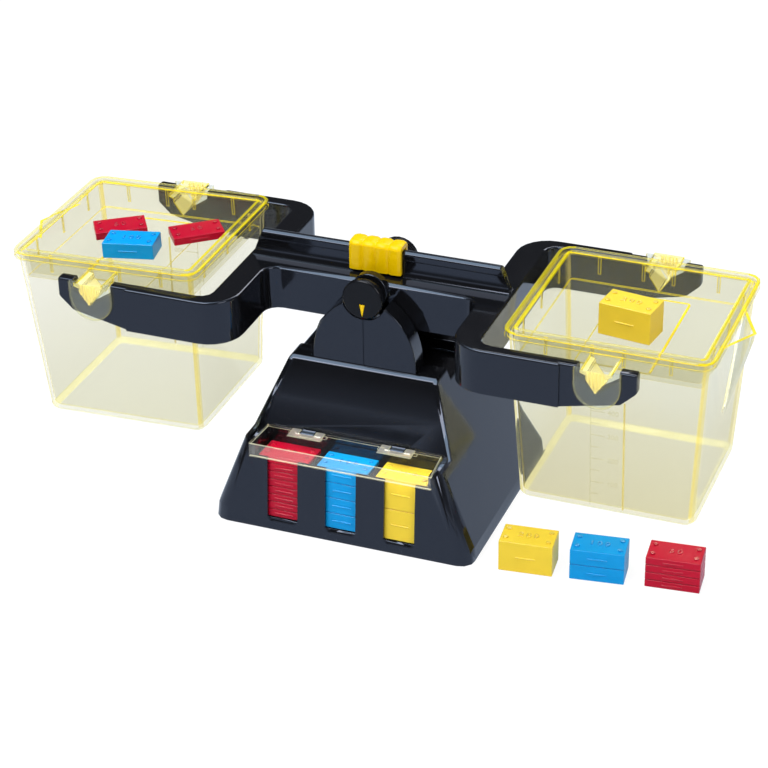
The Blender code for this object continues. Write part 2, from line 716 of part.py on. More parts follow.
MASS_UNITS = {"red": 1, "blue": 2, "yellow": 4}
STORED_UNITS = 8  # the height of each stack in the store
LOOSE_UNITS = 4  # the height of each stack on the table
STORED_STACKS = (("red", -1), ("blue", 0), ("yellow", 1))  # colour, column
LOOSE_YELLOW_PLACE = (110.6 * MM, -56.5 * MM)
LOOSE_BLUE_PLACE = (151.2 * MM, -50.9 * MM)
LOOSE_RED_PLACE = (194.0 * MM, -44.3 * MM)
LOOSE_STACKS = (  # colour, place on the table, turn in degrees
    ("yellow", LOOSE_YELLOW_PLACE, 6.0),
    ("blue", LOOSE_BLUE_PLACE, 7.5),
    ("red", LOOSE_RED_PLACE, 5.5),
)


def build_masses(meshes):
    """The stored stacks in the base and the loose stacks on the table."""
    for colour, column in STORED_STACKS:
        bay = Vector((column * STORE_PITCH, GRIP_SIZE / 2 + CLEARANCE + MASS_DEPTH / 2, CLEARANCE))
        put_stack(f"stored_{colour}_mass", meshes, colour, STORED_UNITS,
                  STORE_FRAME @ Matrix.Translation(bay))
    for colour, (x, y), turn in LOOSE_STACKS:
        frame = joint_frame(f"loose_{colour}_lift", (x, y, 0.0))
        put_stack(f"loose_{colour}_mass", meshes, colour, LOOSE_UNITS,
                  standing(x, y, 0.0, turn), frame)


# Uprights and bearings


def dome_outline(shrink, foot_z):
    """A half ellipse on a short straight foot, as (x, z) points."""
    half = UPRIGHT_HALF_WIDTH - shrink
    rise = UPRIGHT_RISE - shrink
    steps = 20
    outline = [(half, foot_z)]
    for i in range(steps + 1):
        angle = math.pi * i / steps
        outline.append((half * math.cos(angle), UPRIGHT_SPRING_Z + rise * math.sin(angle)))
    return outline + [(-half, foot_z)]


def build_uprights(black, steel):
    """The two domed uprights, and the notched steel plates that carry the axle."""
    foot = BASE_HEIGHT + CLEARANCE
    upright = plate("front_upright", dome_outline(0.0, foot), "XZ", -UPRIGHT_FRONT_Y, -UPRIGHT_BACK_Y)
    hollow = plate("hollow", dome_outline(UPRIGHT_WALL, foot + UPRIGHT_WALL), "XZ",
                   -UPRIGHT_FRONT_Y + UPRIGHT_WALL, -UPRIGHT_BACK_Y + UPRIGHT_WALL)
    saddle_wall = cylinder("saddle_wall", SADDLE_RADIUS + UPRIGHT_WALL, (0, -FAR, PIVOT_Z),
                           (0, FAR, PIVOT_Z))
    post = box("post", (-POST_HALF_WIDTH, -FAR, 0), (POST_HALF_WIDTH, FAR, FAR))
    cut(hollow, saddle_wall, post)
    saddle = cylinder("saddle", SADDLE_RADIUS, (0, -FAR, PIVOT_Z), (0, FAR, PIVOT_Z))
    cut(upright, hollow, saddle)
    reach = BEARING_THICKNESS / 2 + CLEARANCE
    slot = box("slot", (-BEARING_HALF_WIDTH - CLEARANCE, -BEARING_Y - reach, BEARING_FOOT_Z - CLEARANCE),
               (BEARING_HALF_WIDTH + CLEARANCE, -BEARING_Y + reach, PIVOT_Z))
    groove = box("groove", (-INDEX_GROOVE_WIDTH / 2, -FAR, foot + CLEARANCE),
                 (INDEX_GROOVE_WIDTH / 2, -UPRIGHT_FRONT_Y + INDEX_GROOVE_DEPTH, PIVOT_Z))
    cut(upright, slot, groove)
    join(upright, tenon_box("tenon", -TENON_X, -1), tenon_box("tenon", TENON_X, -1))
    half_turn = Matrix.Rotation(math.pi, 4, "Z")
    finish(copy_of(upright, "rear_upright", half_turn), black)
    finish(upright, black)
    # The axle sits in a right-angled notch, with the clearance measured square to its flanks
    apex = PIVOT_Z - (AXLE_RADIUS + CLEARANCE) * math.sqrt(2)
    mouth = BEARING_TOP_Z - apex
    outline = [(-BEARING_HALF_WIDTH, BEARING_FOOT_Z), (BEARING_HALF_WIDTH, BEARING_FOOT_Z),
               (BEARING_HALF_WIDTH, BEARING_TOP_Z), (mouth, BEARING_TOP_Z), (0.0, apex),
               (-mouth, BEARING_TOP_Z), (-BEARING_HALF_WIDTH, BEARING_TOP_Z)]
    for name, side in (("front_bearing", -1), ("rear_bearing", 1)):
        middle = side * BEARING_Y
        bearing = plate(name, outline, "XZ", middle - BEARING_THICKNESS / 2,
                        middle + BEARING_THICKNESS / 2)
        finish(bearing, steel)


# Beam


def fork_quarter(inset):
    """The beam's plan outline in the +X +Y quarter, from the prong's tip round to the web."""
    tip = PRONG_TIP_X - inset
    step_y = FORK_HALF_DEPTH - PRONG_STEP - inset
    outer_y = FORK_HALF_DEPTH - inset
    inner_y = FORK_INNER_HALF_DEPTH + inset
    tip_corner = max(PRONG_TIP_CORNER - inset, 0.2 * MM)
    outer = max(FORK_OUTER_CORNER - inset, 0.5 * MM)
    inner = FORK_INNER_CORNER + inset
    fillet = WEB_FILLET + inset
    inside_x = CROSSBAR_OUTER_X - inset
    web_x = CROSSBAR_INNER_X + inset
    web_y = WEB_HALF_DEPTH - inset
    points = arc(inside_x + inner, inner_y - inner, inner, 180, 90, CORNER_STEPS)
    points += arc(tip - tip_corner, inner_y + tip_corner, tip_corner, 270, 360, 2)
    points += arc(tip - tip_corner, step_y - tip_corner, tip_corner, 0, 90, 2)
    points += [(PRONG_STEP_X - inset, step_y), (PRONG_STEP_X - inset, outer_y)]
    points += arc(web_x + outer, outer_y - outer, outer, 90, 180, 6)
    points += arc(web_x - fillet, web_y + fillet, fillet, 0, -90, 4)
    return points


def beam_ring(z, inset):
    """The beam's whole plan outline, anticlockwise."""
    quarter = fork_quarter(inset)
    outline = list(quarter)
    outline += [(-x, y) for x, y in reversed(quarter)]
    outline += [(-x, -y) for x, y in quarter]
    outline += [(x, -y) for x, y in reversed(quarter)]
    return at_height(outline, z)


def rail_ring(side):
    """The rail's cross-section at one end, where it slopes down to the deck."""
    foot_z = BEAM_TOP_Z - BEAM_WALL / 2
    half_section = [(RAIL_FOOT_HALF_WIDTH, foot_z), (RAIL_FOOT_HALF_WIDTH, BEAM_TOP_Z + CLEARANCE),
                    (RAIL_STEM_HALF_WIDTH, BEAM_TOP_Z + RAIL_FOOT_RISE),
                    (RAIL_STEM_HALF_WIDTH, RAIL_HEAD_Z - RAIL_EDGE),
                    (RAIL_HEAD_HALF_WIDTH, RAIL_HEAD_Z), (RAIL_HEAD_HALF_WIDTH, RAIL_TOP_Z - RAIL_EDGE),
                    (RAIL_HEAD_HALF_WIDTH - RAIL_EDGE, RAIL_TOP_Z)]
    section = half_section + [(-y, z) for y, z in reversed(half_section)]
    ring = []
    for y, z in section:
        share = (z - BEAM_TOP_Z) / (RAIL_TOP_Z - BEAM_TOP_Z)
        reach = between(RAIL_FOOT_HALF_LENGTH, RAIL_TOP_HALF_LENGTH, max(share, 0.0))
        ring.append((side * reach, y, z))
    return ring


def build_beam(black, steel):
    """The beam moulding with its rail and hubs, and the axle through it."""
    frame = joint_frame("beam_pivot", (0, 0, PIVOT_Z))
    edge = BEAM_EDGE
    steps = [(BEAM_BOTTOM_Z, 0.0), (BEAM_TOP_Z - edge, 0.0), (BEAM_TOP_Z - 0.3 * edge, 0.3 * edge),
             (BEAM_TOP_Z, edge)]
    beam = loft("beam", [beam_ring(z, inset) for z, inset in steps])
    hollow = loft("hollow", [beam_ring(BEAM_BOTTOM_Z - BEAM_WALL, BEAM_WALL),
                             beam_ring(BEAM_TOP_Z - BEAM_WALL, BEAM_WALL)])
    cut(beam, hollow)
    below = BEAM_BOTTOM_Z - 10 * MM
    for side in (-1, 1):
        chin = [(PRONG_STEP_X, below), (PRONG_TIP_X + 5 * MM, below),
                (PRONG_TIP_X + 5 * MM, PRONG_CHIN_Z + 5 * MM), (PRONG_TIP_X, PRONG_CHIN_Z),
                (PRONG_KNEE_X, PRONG_KNEE_Z), (PRONG_STEP_X, BEAM_BOTTOM_Z)]
        seat = [(SEAT_X, SEAT_Z), (SEAT_X + SEAT_HALF_WIDTH, SEAT_SHOULDER_Z),
                (SEAT_X + SEAT_HALF_WIDTH, FAR), (SEAT_X - SEAT_HALF_WIDTH, FAR),
                (SEAT_X - SEAT_HALF_WIDTH, SEAT_SHOULDER_Z)]
        for outline in (chin, seat):
            mirrored = [(side * x, z) for x, z in outline]
            cut(beam, plate("prong_cut", mirrored, "XZ", -FAR, FAR))
    join(beam, loft("rail", [rail_ring(-1), rail_ring(1)]))
    for side in (-1, 1):
        hub = cylinder("hub", HUB_RADIUS, (0, side * (WEB_HALF_DEPTH - BEAM_WALL / 2), PIVOT_Z),
                       (0, side * HUB_Y, PIVOT_Z))
        join(beam, hub)
    cut(beam, cylinder("axle_bore", AXLE_RADIUS + CLEARANCE, (0, -FAR, PIVOT_Z), (0, FAR, PIVOT_Z),
                       SMALL_ROUND_SIDES))
    finish(beam, black, frame)
    axle = cylinder("pivot_axle", AXLE_RADIUS, (0, -AXLE_HALF_LENGTH, PIVOT_Z),
                    (0, AXLE_HALF_LENGTH, PIVOT_Z), SMALL_ROUND_SIDES)
    finish(axle, steel, frame)
    return frame


def build_discs(black, yellow, frame):
    """The pointer discs on the axle's ends, and the yellow pointer let into each."""
    profile = [(0.0, -DISC_BOSS_Y), (DISC_BOSS_RADIUS, -DISC_BOSS_Y), (DISC_BOSS_RADIUS, -DISC_BACK_Y),
               (DISC_RADIUS, -DISC_BACK_Y), (DISC_RADIUS, -DISC_FACE_Y + DISC_EDGE),
               (DISC_RADIUS - DISC_EDGE, -DISC_FACE_Y), (0.0, -DISC_FACE_Y)]
    disc = turned("front_disc", [(radius, -y) for radius, y in profile])
    disc.data.transform(Matrix.Translation((0, 0, PIVOT_Z)))
    tip = PIVOT_Z - POINTER_TIP_RADIUS
    shape = [(0.0, tip), (POINTER_WIDTH / 2, tip + POINTER_LENGTH),
             (-POINTER_WIDTH / 2, tip + POINTER_LENGTH)]
    room = [(0.0, tip - 3 * CLEARANCE)]
    room += [(math.copysign(POINTER_WIDTH / 2 + CLEARANCE, x), z + CLEARANCE) for x, z in shape[1:]]
    pocket = plate("pocket", room, "XZ", -FAR, -DISC_FACE_Y + POINTER_SINK + CLEARANCE)
    bore = cylinder("bore", AXLE_RADIUS + CLEARANCE, (0, -AXLE_HALF_LENGTH - CLEARANCE, PIVOT_Z),
                    (0, 0, PIVOT_Z), SMALL_ROUND_SIDES)
    cut(disc, pocket, bore)
    pointer = plate("front_pointer", shape, "XZ", -DISC_FACE_Y, -DISC_FACE_Y + POINTER_SINK)
    half_turn = Matrix.Rotation(math.pi, 4, "Z")
    finish(copy_of(disc, "rear_disc", half_turn), black, frame)
    finish(copy_of(pointer, "rear_pointer", half_turn), yellow, frame)
    finish(disc, black, frame)
    finish(pointer, yellow, frame)


def rider_ring(x, bulge):
    """The rider's cross-section, an arch over the rail, swollen by a bulge."""
    half, top = RIDER_HALF_WIDTH - RIDER_BULGE + bulge, RIDER_TOP_Z - RIDER_BULGE + bulge
    bore, roof = RAIL_HEAD_HALF_WIDTH + CLEARANCE, RAIL_TOP_Z + CLEARANCE
    section = [(half, RIDER_SKIRT_Z)]
    section += arc(half - RIDER_SHOULDER, top - RIDER_SHOULDER, RIDER_SHOULDER, 0, 90, 4)
    section += arc(-half + RIDER_SHOULDER, top - RIDER_SHOULDER, RIDER_SHOULDER, 90, 180, 4)
    section += [(-half, RIDER_SKIRT_Z), (-bore, RIDER_SKIRT_Z), (-bore, roof), (bore, roof),
                (bore, RIDER_SKIRT_Z)]
    return [(x, y, z) for y, z in section]


def build_rider(yellow):
    """The ribbed rider that slides on the rail to set the pointer to zero."""
    start = RIDER_CENTRE_X - RIDER_RIBS * RIDER_PITCH / 2
    frame = joint_frame("rider_slide", (RIDER_CENTRE_X, 0, RAIL_TOP_Z))
    shares = (0.0, 0.1, 0.3, 0.7, 0.9)
    rings = []
    for rib in range(RIDER_RIBS):
        for share in shares:
            bulge = RIDER_BULGE * (1 - abs(2 * share - 1) ** 3)
            rings.append(rider_ring(start + (rib + share) * RIDER_PITCH, bulge))
    rings.append(rider_ring(start + RIDER_RIBS * RIDER_PITCH, 0.0))
    finish(loft("zero_rider", rings), yellow, frame)


# Buckets and lids


def bucket_ring(z, inset, rim=False):
    """A bucket's outline at a height, about its own centre, with the spout on its +X side."""
    share = (z - BUCKET_FLOOR_Z) / (BUCKET_RIM_Z - BUCKET_FLOOR_Z)
    half_x = between(BUCKET_FLOOR_HALF_X, BUCKET_RIM_HALF_X, share) - inset
    half_y = between(BUCKET_FLOOR_HALF_Y, BUCKET_RIM_HALF_Y, share) - inset
    radius = max(BUCKET_CORNER - inset, 1.0 * MM)
    outline = rounded_rectangle(-half_x, half_x, -half_y, half_y, radius)
    swell = min(max((z - SPOUT_START_Z) / (SPOUT_LIP_Z - SPOUT_START_Z), 0.0), 1.0)
    width = max(SPOUT_HALF_WIDTH * swell, 3 * MM)
    collar = width + 4 * MM
    reach = SPOUT_REACH * swell
    drop = SPOUT_RIM_DROP if rim else 0.0
    points = [(half_x, -collar, z), (half_x, -width, z - drop), (half_x + reach, 0.0, z - 1.4 * drop),
              (half_x, width, z - drop), (half_x, collar, z)]
    return points + at_height(outline, z)


def bucket_mesh():
    """A bucket about its own centre: walls, spout, knife edges and hanger plates."""
    outer = [(BUCKET_FLOOR_Z, BUCKET_CHAMFER), (BUCKET_FLOOR_Z + BUCKET_CHAMFER, 0.0),
             (SPOUT_START_Z, 0.0), (SPOUT_LIP_Z, 0.0)]
    floor = BUCKET_FLOOR_Z + BUCKET_WALL
    inner = [(SPOUT_LIP_Z, BUCKET_WALL), (SPOUT_START_Z, BUCKET_WALL),
             (floor + BUCKET_CHAMFER, BUCKET_WALL), (floor, BUCKET_WALL + BUCKET_CHAMFER)]
    rings = [bucket_ring(z, inset) for z, inset in outer]
    rings.append(bucket_ring(BUCKET_RIM_Z, 0.0, rim=True))
    rings.append(bucket_ring(BUCKET_RIM_Z, BUCKET_WALL, rim=True))
    rings += [bucket_ring(z, inset) for z, inset in inner]
    bucket = loft("bucket", rings)
    share = (KNIFE_EDGE_Z - BUCKET_FLOOR_Z) / (BUCKET_RIM_Z - BUCKET_FLOOR_Z)
    root_y = between(BUCKET_FLOOR_HALF_Y, BUCKET_RIM_HALF_Y, share) - BUCKET_WALL / 4
    head_low = KNIFE_TOP_Z - KNIFE_HEAD_THICKNESS
    knife = [(0.0, KNIFE_EDGE_Z), (KNIFE_HALF_WIDTH, KNIFE_SHOULDER_Z), (KNIFE_HALF_WIDTH, KNIFE_NECK_Z),
             (KNIFE_HEAD_HALF_WIDTH, head_low), (KNIFE_HEAD_HALF_WIDTH, KNIFE_TOP_Z)]
    knife += [(-x, z) for x, z in reversed(knife[1:])]
    hanger = arc(0.0, HANGER_FOOT_Z + HANGER_HALF_WIDTH, HANGER_HALF_WIDTH, 180, 360, 10)
    hanger += [(HANGER_HALF_WIDTH, KNIFE_TOP_Z - CLEARANCE), (-HANGER_HALF_WIDTH, KNIFE_TOP_Z - CLEARANCE)]
    for side in (-1, 1):
        join(bucket, plate("knife", knife, "XZ", side * root_y, side * KNIFE_Y))
        join(bucket, plate("hanger", hanger, "XZ", side * (HANGER_FACE_Y - HANGER_THICKNESS),
                           side * HANGER_FACE_Y))
    return bucket


def lid_ring(inset, z):
    """A lid's outline, drawn in from its outer edge."""
    radius = max(LID_CORNER - inset, 2.0 * MM)
    outline = rounded_rectangle(-LID_HALF_X + inset, LID_HALF_X - inset, -LID_HALF_Y + inset,
                                LID_HALF_Y - inset, radius)
    return at_height(outline, z)


def lid_mesh():
    """A lid about its bucket's centre: a skirt, a beaded rim and a sunk tray."""
    rim_z = LID_TOP_Z - LID_BEAD
    under_z = BUCKET_RIM_Z + CLEARANCE
    floor_low = LID_TRAY_FLOOR_Z - LID_WALL
    tray = LID_RIM_WIDTH + LID_TRAY_DRAFT
    pad = rounded_rectangle(-LID_PAD_HALF_X, LID_PAD_HALF_X, -LID_PAD_HALF_Y, LID_PAD_HALF_Y, 1.5 * MM)
    steps = [
        (LID_RIM_WIDTH, LID_TOP_Z - LID_BEAD), (LID_RIM_WIDTH - LID_BEAD, LID_TOP_Z),
        (LID_RIM_WIDTH - LID_BEAD_WIDTH, LID_TOP_Z), (LID_RIM_WIDTH - LID_BEAD_WIDTH - LID_BEAD, rim_z),
        (LID_BEAD_WIDTH + LID_BEAD, rim_z), (LID_BEAD_WIDTH, LID_TOP_Z), (LID_BEAD, LID_TOP_Z),
        (0.0, rim_z), (0.0, LID_SKIRT_Z), (LID_WALL, LID_SKIRT_Z), (LID_WALL, under_z),
        (LID_RIM_WIDTH - LID_WALL, under_z), (tray - LID_WALL, floor_low),
    ]
    rings = [lid_ring(tray, LID_TRAY_FLOOR_Z)]
    rings += [lid_ring(inset, z) for inset, z in steps]
    rings += [at_height(pad, floor_low), at_height(pad, floor_low - LID_PAD_DROP)]
    return loft("lid", rings)


LID_MASSES = (  # name, colour, side, centre x, centre y, turn in degrees
    ("left_red_mass_a", "red", -1, -177.1 * MM, 17.5 * MM, 32.0),
    ("left_red_mass_b", "red", -1, -128.8 * MM, 24.0 * MM, 36.5),
    ("left_blue_mass", "blue", -1, -156.9 * MM, -7.3 * MM, 10.4),
    ("right_yellow_mass", "yellow", 1, 151.6 * MM, -5.1 * MM, -8.0),
)


def build_buckets(clear, meshes):
    """Both buckets with their lids and the masses on them, hung on the fork's seats."""
    bucket, lid = bucket_mesh(), lid_mesh()
    for label, side, lean in (("left", -1, LEFT_BUCKET_LEAN), ("right", 1, 0.0)):
        frame = joint_frame(label + "_bucket_hinge", (side * SEAT_X, 0, KNIFE_EDGE_Z))
        turn = Matrix.Rotation(0.0 if side > 0 else math.pi, 4, "Z")
        place = Matrix.Translation((side * SEAT_X, 0, 0)) @ turn
        finish(copy_of(bucket, label + "_bucket", place), clear, frame)
        finish(copy_of(lid, label + "_lid", place), clear, frame)
        for name, colour, mass_side, x, y, degrees in LID_MASSES:
            if mass_side == side:
                spot = standing(x, y, LID_TRAY_FLOOR_Z + CLEARANCE, degrees)
                put_mass(name, meshes[colour], spot, frame)
        frame.rotation_euler = (0, lean, 0)
    for pattern in (bucket, lid):
        bpy.data.objects.remove(pattern, do_unlink=True)


def main():
    clear_scene()
    black = make_material("black_gloss", (0.012, 0.013, 0.017), 0.12)
    steel = make_material("bright_steel", (0.6, 0.6, 0.62), 0.25, 1.0)
    clear = make_material("pale_yellow_clear", (0.95, 0.9, 0.55), 0.08, 0.0, 0.35)
    smoke = make_material("store_cover_clear", (0.85, 0.8, 0.65), 0.08, 0.0, 0.35)
    yellow = make_material("yellow", (0.9, 0.62, 0.02), 0.4)
    colours = {
        "red": make_material("mass_red", (0.6, 0.01, 0.03), 0.4),
        "blue": make_material("mass_blue", (0.0, 0.28, 0.68), 0.4),
        "yellow": make_material("mass_yellow", (0.95, 0.68, 0.03), 0.4),
    }
    build_base(black)
    build_hinge_pins(steel)
    build_cover(smoke)
    meshes = build_mass_meshes(colours)
    build_masses(meshes)
    build_uprights(black, steel)
    frame = build_beam(black, steel)
    build_discs(black, yellow, frame)
    build_rider(yellow)
    build_buckets(clear, meshes)


main()
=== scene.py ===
"""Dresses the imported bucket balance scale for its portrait.

Every sub-assembly is a class that holds its sizes in metres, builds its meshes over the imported
solids and gives them their finish. The studio class sets the floor, the light and the camera.
"""
from __future__ import annotations

import json
import logging
import math
from collections.abc import Callable
from dataclasses import dataclass, replace
from enum import Enum

import bmesh
import bpy
from mathutils import Matrix, Vector

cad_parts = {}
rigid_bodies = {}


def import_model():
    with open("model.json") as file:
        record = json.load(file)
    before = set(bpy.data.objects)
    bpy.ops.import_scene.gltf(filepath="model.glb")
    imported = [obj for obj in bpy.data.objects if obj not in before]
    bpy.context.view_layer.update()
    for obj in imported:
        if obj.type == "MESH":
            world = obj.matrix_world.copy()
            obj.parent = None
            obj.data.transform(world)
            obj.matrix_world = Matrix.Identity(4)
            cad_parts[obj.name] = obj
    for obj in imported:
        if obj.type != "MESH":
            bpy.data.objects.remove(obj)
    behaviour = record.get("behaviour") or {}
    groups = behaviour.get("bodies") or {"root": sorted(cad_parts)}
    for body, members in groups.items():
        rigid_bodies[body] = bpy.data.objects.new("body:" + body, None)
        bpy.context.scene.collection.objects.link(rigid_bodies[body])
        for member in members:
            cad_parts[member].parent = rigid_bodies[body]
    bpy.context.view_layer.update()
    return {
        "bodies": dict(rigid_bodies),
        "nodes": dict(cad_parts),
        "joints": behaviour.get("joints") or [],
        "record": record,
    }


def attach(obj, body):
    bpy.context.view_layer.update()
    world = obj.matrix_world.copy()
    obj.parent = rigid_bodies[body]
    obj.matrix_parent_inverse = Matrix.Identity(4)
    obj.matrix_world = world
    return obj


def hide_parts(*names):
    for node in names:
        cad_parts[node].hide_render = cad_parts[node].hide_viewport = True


MM = 0.001
ROOM_SHARE = 2.5  # a rounding's room, as a multiple of its width
LEAST_SHARE = 0.15  # a rounding that would be narrower than this share is left out
SHARP = math.radians(32.0)  # the least angle of an edge that is rounded
LARGE_FACE = 700.0 * MM * MM  # a face this large is never shaded into another
FLAT = math.radians(4.0)  # the least angle between large faces that is kept sharp
ONE_FACE = math.radians(0.4)  # the widest angle between faces that count as one
DOUBLED = 0.002 * MM  # points this close are one
POINT_SLACK = 0.08 * MM  # how near a point has to be to a packed edge to belong to it
KNIFE_EDGE = (152.0 * MM, 130.3 * MM)  # the buckets' knife edges, across and up
LEFT_LEAN = math.radians(-2.0)  # how far the left bucket leans at rest
UPRIGHT = 0.5  # the most that an upright face's normal has along Z
NOISE_SPAN = (0.3, 0.7)  # where nearly all of a noise pattern's values lie
NUMBER_STEP = 50  # what one unit of mass and one level mark stand for
WHITE = (1.0, 1.0, 1.0, 1.0)
LOG = logging.getLogger("balance_scale")

Triple = tuple[float, float, float]
Pair = tuple[float, float]
Piece = bpy.types.Object
Spare = Callable[[Vector], bool]  # tells the places whose edges stay sharp
FaceTest = Callable[[Vector, Vector], bool]  # tells faces by middle and normal
Work = Callable[[Piece], None]
Shift = Callable[[Vector], Vector]  # gives a point's new place


class EdgeBreak(Enum):
    """How far a moulded piece's sharp edges are rounded, in metres."""

    STAMPED = 0.12 * MM
    CRISP = 0.25 * MM
    SOFT = 0.45 * MM
    BROAD = 0.7 * MM
    BOLD = 1.4 * MM


class Axis(Enum):
    """The turn that lays a round bar along an axis."""

    X = (0.0, math.pi / 2, 0.0)
    Z = (0.0, 0.0, 0.0)


# Finishes


class Nodes:
    """The node tree of a finish or of the world."""

    def __init__(self, owner: bpy.types.Material | bpy.types.World) -> None:
        """Start with an empty tree.

        Args:
            owner: The material or the world.
        """
        owner.use_nodes = True
        self.tree = owner.node_tree
        self.tree.nodes.clear()

    def add(self, kind: str, *first: object, setting: dict[str, object] | None = None,
            **inputs: object) -> bpy.types.Node:
        """Add a node and fill its inputs with values, nodes or sockets.

        Args:
            kind: The node's type name without its prefix.
            first: What its first inputs get, in their order.
            setting: Its settings by name.
            inputs: What its named inputs get, with underscores for spaces.

        Returns:
            The new node.
        """
        made = self.tree.nodes.new(f"ShaderNode{kind}")
        for name, value in (setting or {}).items():
            setattr(made, name, value)
        wanted = [(made.inputs[place], value) for place, value in enumerate(first)]
        wanted += [(made.inputs[name.replace("_", " ")], value) for name, value in inputs.items()]
        for socket, value in wanted:
            if isinstance(value, bpy.types.Node):
                value = value.outputs[0]
            if isinstance(value, bpy.types.NodeSocket):
                self.tree.links.new(value, socket)
            else:
                socket.default_value = value
        return made

    def place(self) -> bpy.types.NodeSocket:
        """Give the piece's own coordinates.

        Returns:
            Their output.
        """
        return self.add("TexCoord").outputs["Object"]

    def noise(self, scale: float, detail: float = 3.0) -> bpy.types.Node:
        """Add a noise pattern on the piece's own coordinates.

        Args:
            scale: The pattern's scale, in cells per metre.
            detail: How many finer layers it has.

        Returns:
            The noise node.
        """
        return self.add("TexNoise", Vector=self.place(), Scale=scale, Detail=detail)

    def spread(self, pattern: bpy.types.Node, low: float, high: float) -> bpy.types.Node:
        """Spread a pattern's middle values over a range.

        Args:
            pattern: The pattern.
            low: The value at its dark parts.
            high: The value at its bright parts.

        Returns:
            The node with the spread values.
        """
        return self.add("MapRange", pattern, *NOISE_SPAN, low, high)

    def relief(self, pattern: bpy.types.Node, strength: float, depth: float) -> bpy.types.Node:
        """Turn a pattern into a shallow relief.

        Args:
            pattern: The pattern.
            strength: How strongly it shows.
            depth: How deep it would be, in metres.

        Returns:
            The node with the bent normals.
        """
        return self.add("Bump", Strength=strength, Distance=depth, Height=pattern)

    def blend(self, share: bpy.types.Node, low: Triple, high: Triple) -> bpy.types.NodeSocket:
        """Blend two colours.

        Args:
            share: The second colour's share.
            low: The first colour.
            high: The second colour.

        Returns:
            The output with the blended colour.
        """
        mixed = self.add("Mix", setting={"data_type": "RGBA"}, Factor=share, A=(*low, 1.0),
                         B=(*high, 1.0))
        return mixed.outputs["Result"]


@dataclass(frozen=True)
class Finish:
    """A named finish, made into one material and shared by its pieces."""

    name: str

    def material(self) -> bpy.types.Material:
        """Find the finish's material, or make it at first use.

        Returns:
            The material with its nodes built.
        """
        found = bpy.data.materials.get(self.name)
        if found is None:
            found = bpy.data.materials.new(self.name)
            nodes = Nodes(found)
            nodes.add("OutputMaterial", self.surfaced(nodes))
        return found

    def surfaced(self, nodes: Nodes) -> bpy.types.Node:
        """Build the finish's nodes.

        Args:
            nodes: The material's empty node tree.

        Returns:
            The node that gives the surface.
        """
        raise NotImplementedError


@dataclass(frozen=True)
class GlossBlack(Finish):
    """Black moulded plastic with a polished skin and a faint, slow ripple."""

    name: str = "gloss_black"
    colour: Triple = (0.006, 0.006, 0.007)
    tint: Triple = (0.7, 0.77, 0.96)
    roughness: Pair = (0.06, 0.11)
    shine: float = 0.7
    patches: float = 60.0
    ripples: float = 25.0
    waviness: float = 0.02

    def surfaced(self, nodes: Nodes) -> bpy.types.Node:
        """Build the nodes, as Finish.surfaced says."""
        return nodes.add("BsdfPrincipled", Base_Color=(*self.colour, 1.0),
                         Roughness=nodes.spread(nodes.noise(self.patches), *self.roughness),
                         Specular_IOR_Level=self.shine, Specular_Tint=(*self.tint, 1.0),
                         Normal=nodes.relief(nodes.noise(self.ripples, 1.0), self.waviness,
                                             1.0 * MM))


@dataclass(frozen=True)
class ClearPlastic(Finish):
    """Clear moulded plastic with a tint, a polished skin and a pale shadow, and painted shade towards
    the bottom where a foot colour is given.
    """

    name: str = "clear_pale_yellow"
    surface: Triple = (0.905, 0.9, 0.845)
    # foot: painted shade, a darker and yellower colour that the surface blends into towards the bottom
    foot: Triple | None = None
    painted_shade_span: Pair = (45.0 * MM, 120.0 * MM)
    shadow: Triple = (0.997, 0.995, 0.965)
    roughness: float = 0.01
    bend: float = 1.01
    clearness: float = 0.985
    skin: float = 0.2
    skin_blur: float = 0.02

    def surfaced(self, nodes: Nodes) -> bpy.types.Node:
        """Build the nodes, as Finish.surfaced says."""
        colour = (*self.surface, 1.0)
        # painted shade: the colour darkens and yellows from the top of the span down to its bottom
        if self.foot is not None:
            height = nodes.add("SeparateXYZ", nodes.place()).outputs["Z"]
            share = nodes.add("MapRange", height, *self.painted_shade_span)
            colour = nodes.blend(share, self.foot, self.surface)
        body = nodes.add("BsdfPrincipled", Base_Color=colour, Roughness=self.roughness,
                         IOR=self.bend, Transmission_Weight=self.clearness,
                         Coat_Weight=self.skin, Coat_Roughness=self.skin_blur)
        open_way = nodes.add("BsdfTransparent", (*self.shadow, 1.0))
        way = nodes.add("LightPath").outputs
        return nodes.add("MixShader", way["Is Shadow Ray"], body, open_way)


@dataclass(frozen=True)
class MassPlastic(Finish):
    """Dense coloured plastic with a slight cloudiness and a fine satin grain."""

    name: str = "satin_plastic"
    colour: Triple = (0.5, 0.5, 0.5)
    roughness: Pair = (0.3, 0.42)
    shine: float = 0.12
    skin: Triple = (0.14, 0.12, 1.5)
    clouds: float = 90.0
    dimming: float = 0.94
    grains: float = 2200.0
    grain: float = 0.05

    def polished(self, part: str, skin: Triple) -> MassPlastic:
        """Give the same plastic as it looks on a part that hands have polished.

        Args:
            part: The part's name.
            skin: The weight, the blur and the index of its skin.

        Returns:
            The polished finish.
        """
        return replace(self, name=f"{self.name}_{part}", skin=skin, grain=0.02)

    def surfaced(self, nodes: Nodes) -> bpy.types.Node:
        """Build the nodes, as Finish.surfaced says."""
        cloud = nodes.noise(self.clouds)
        dim = tuple(self.dimming * value for value in self.colour)
        weight, blur, index = self.skin
        return nodes.add("BsdfPrincipled", Specular_IOR_Level=self.shine, Coat_Weight=weight,
                         Base_Color=nodes.blend(nodes.spread(cloud, 0.0, 1.0), dim, self.colour),
                         Roughness=nodes.spread(cloud, *self.roughness),
                         Coat_Roughness=blur, Coat_IOR=index,
                         Normal=nodes.relief(nodes.noise(self.grains, 2.0), self.grain, 0.2 * MM))


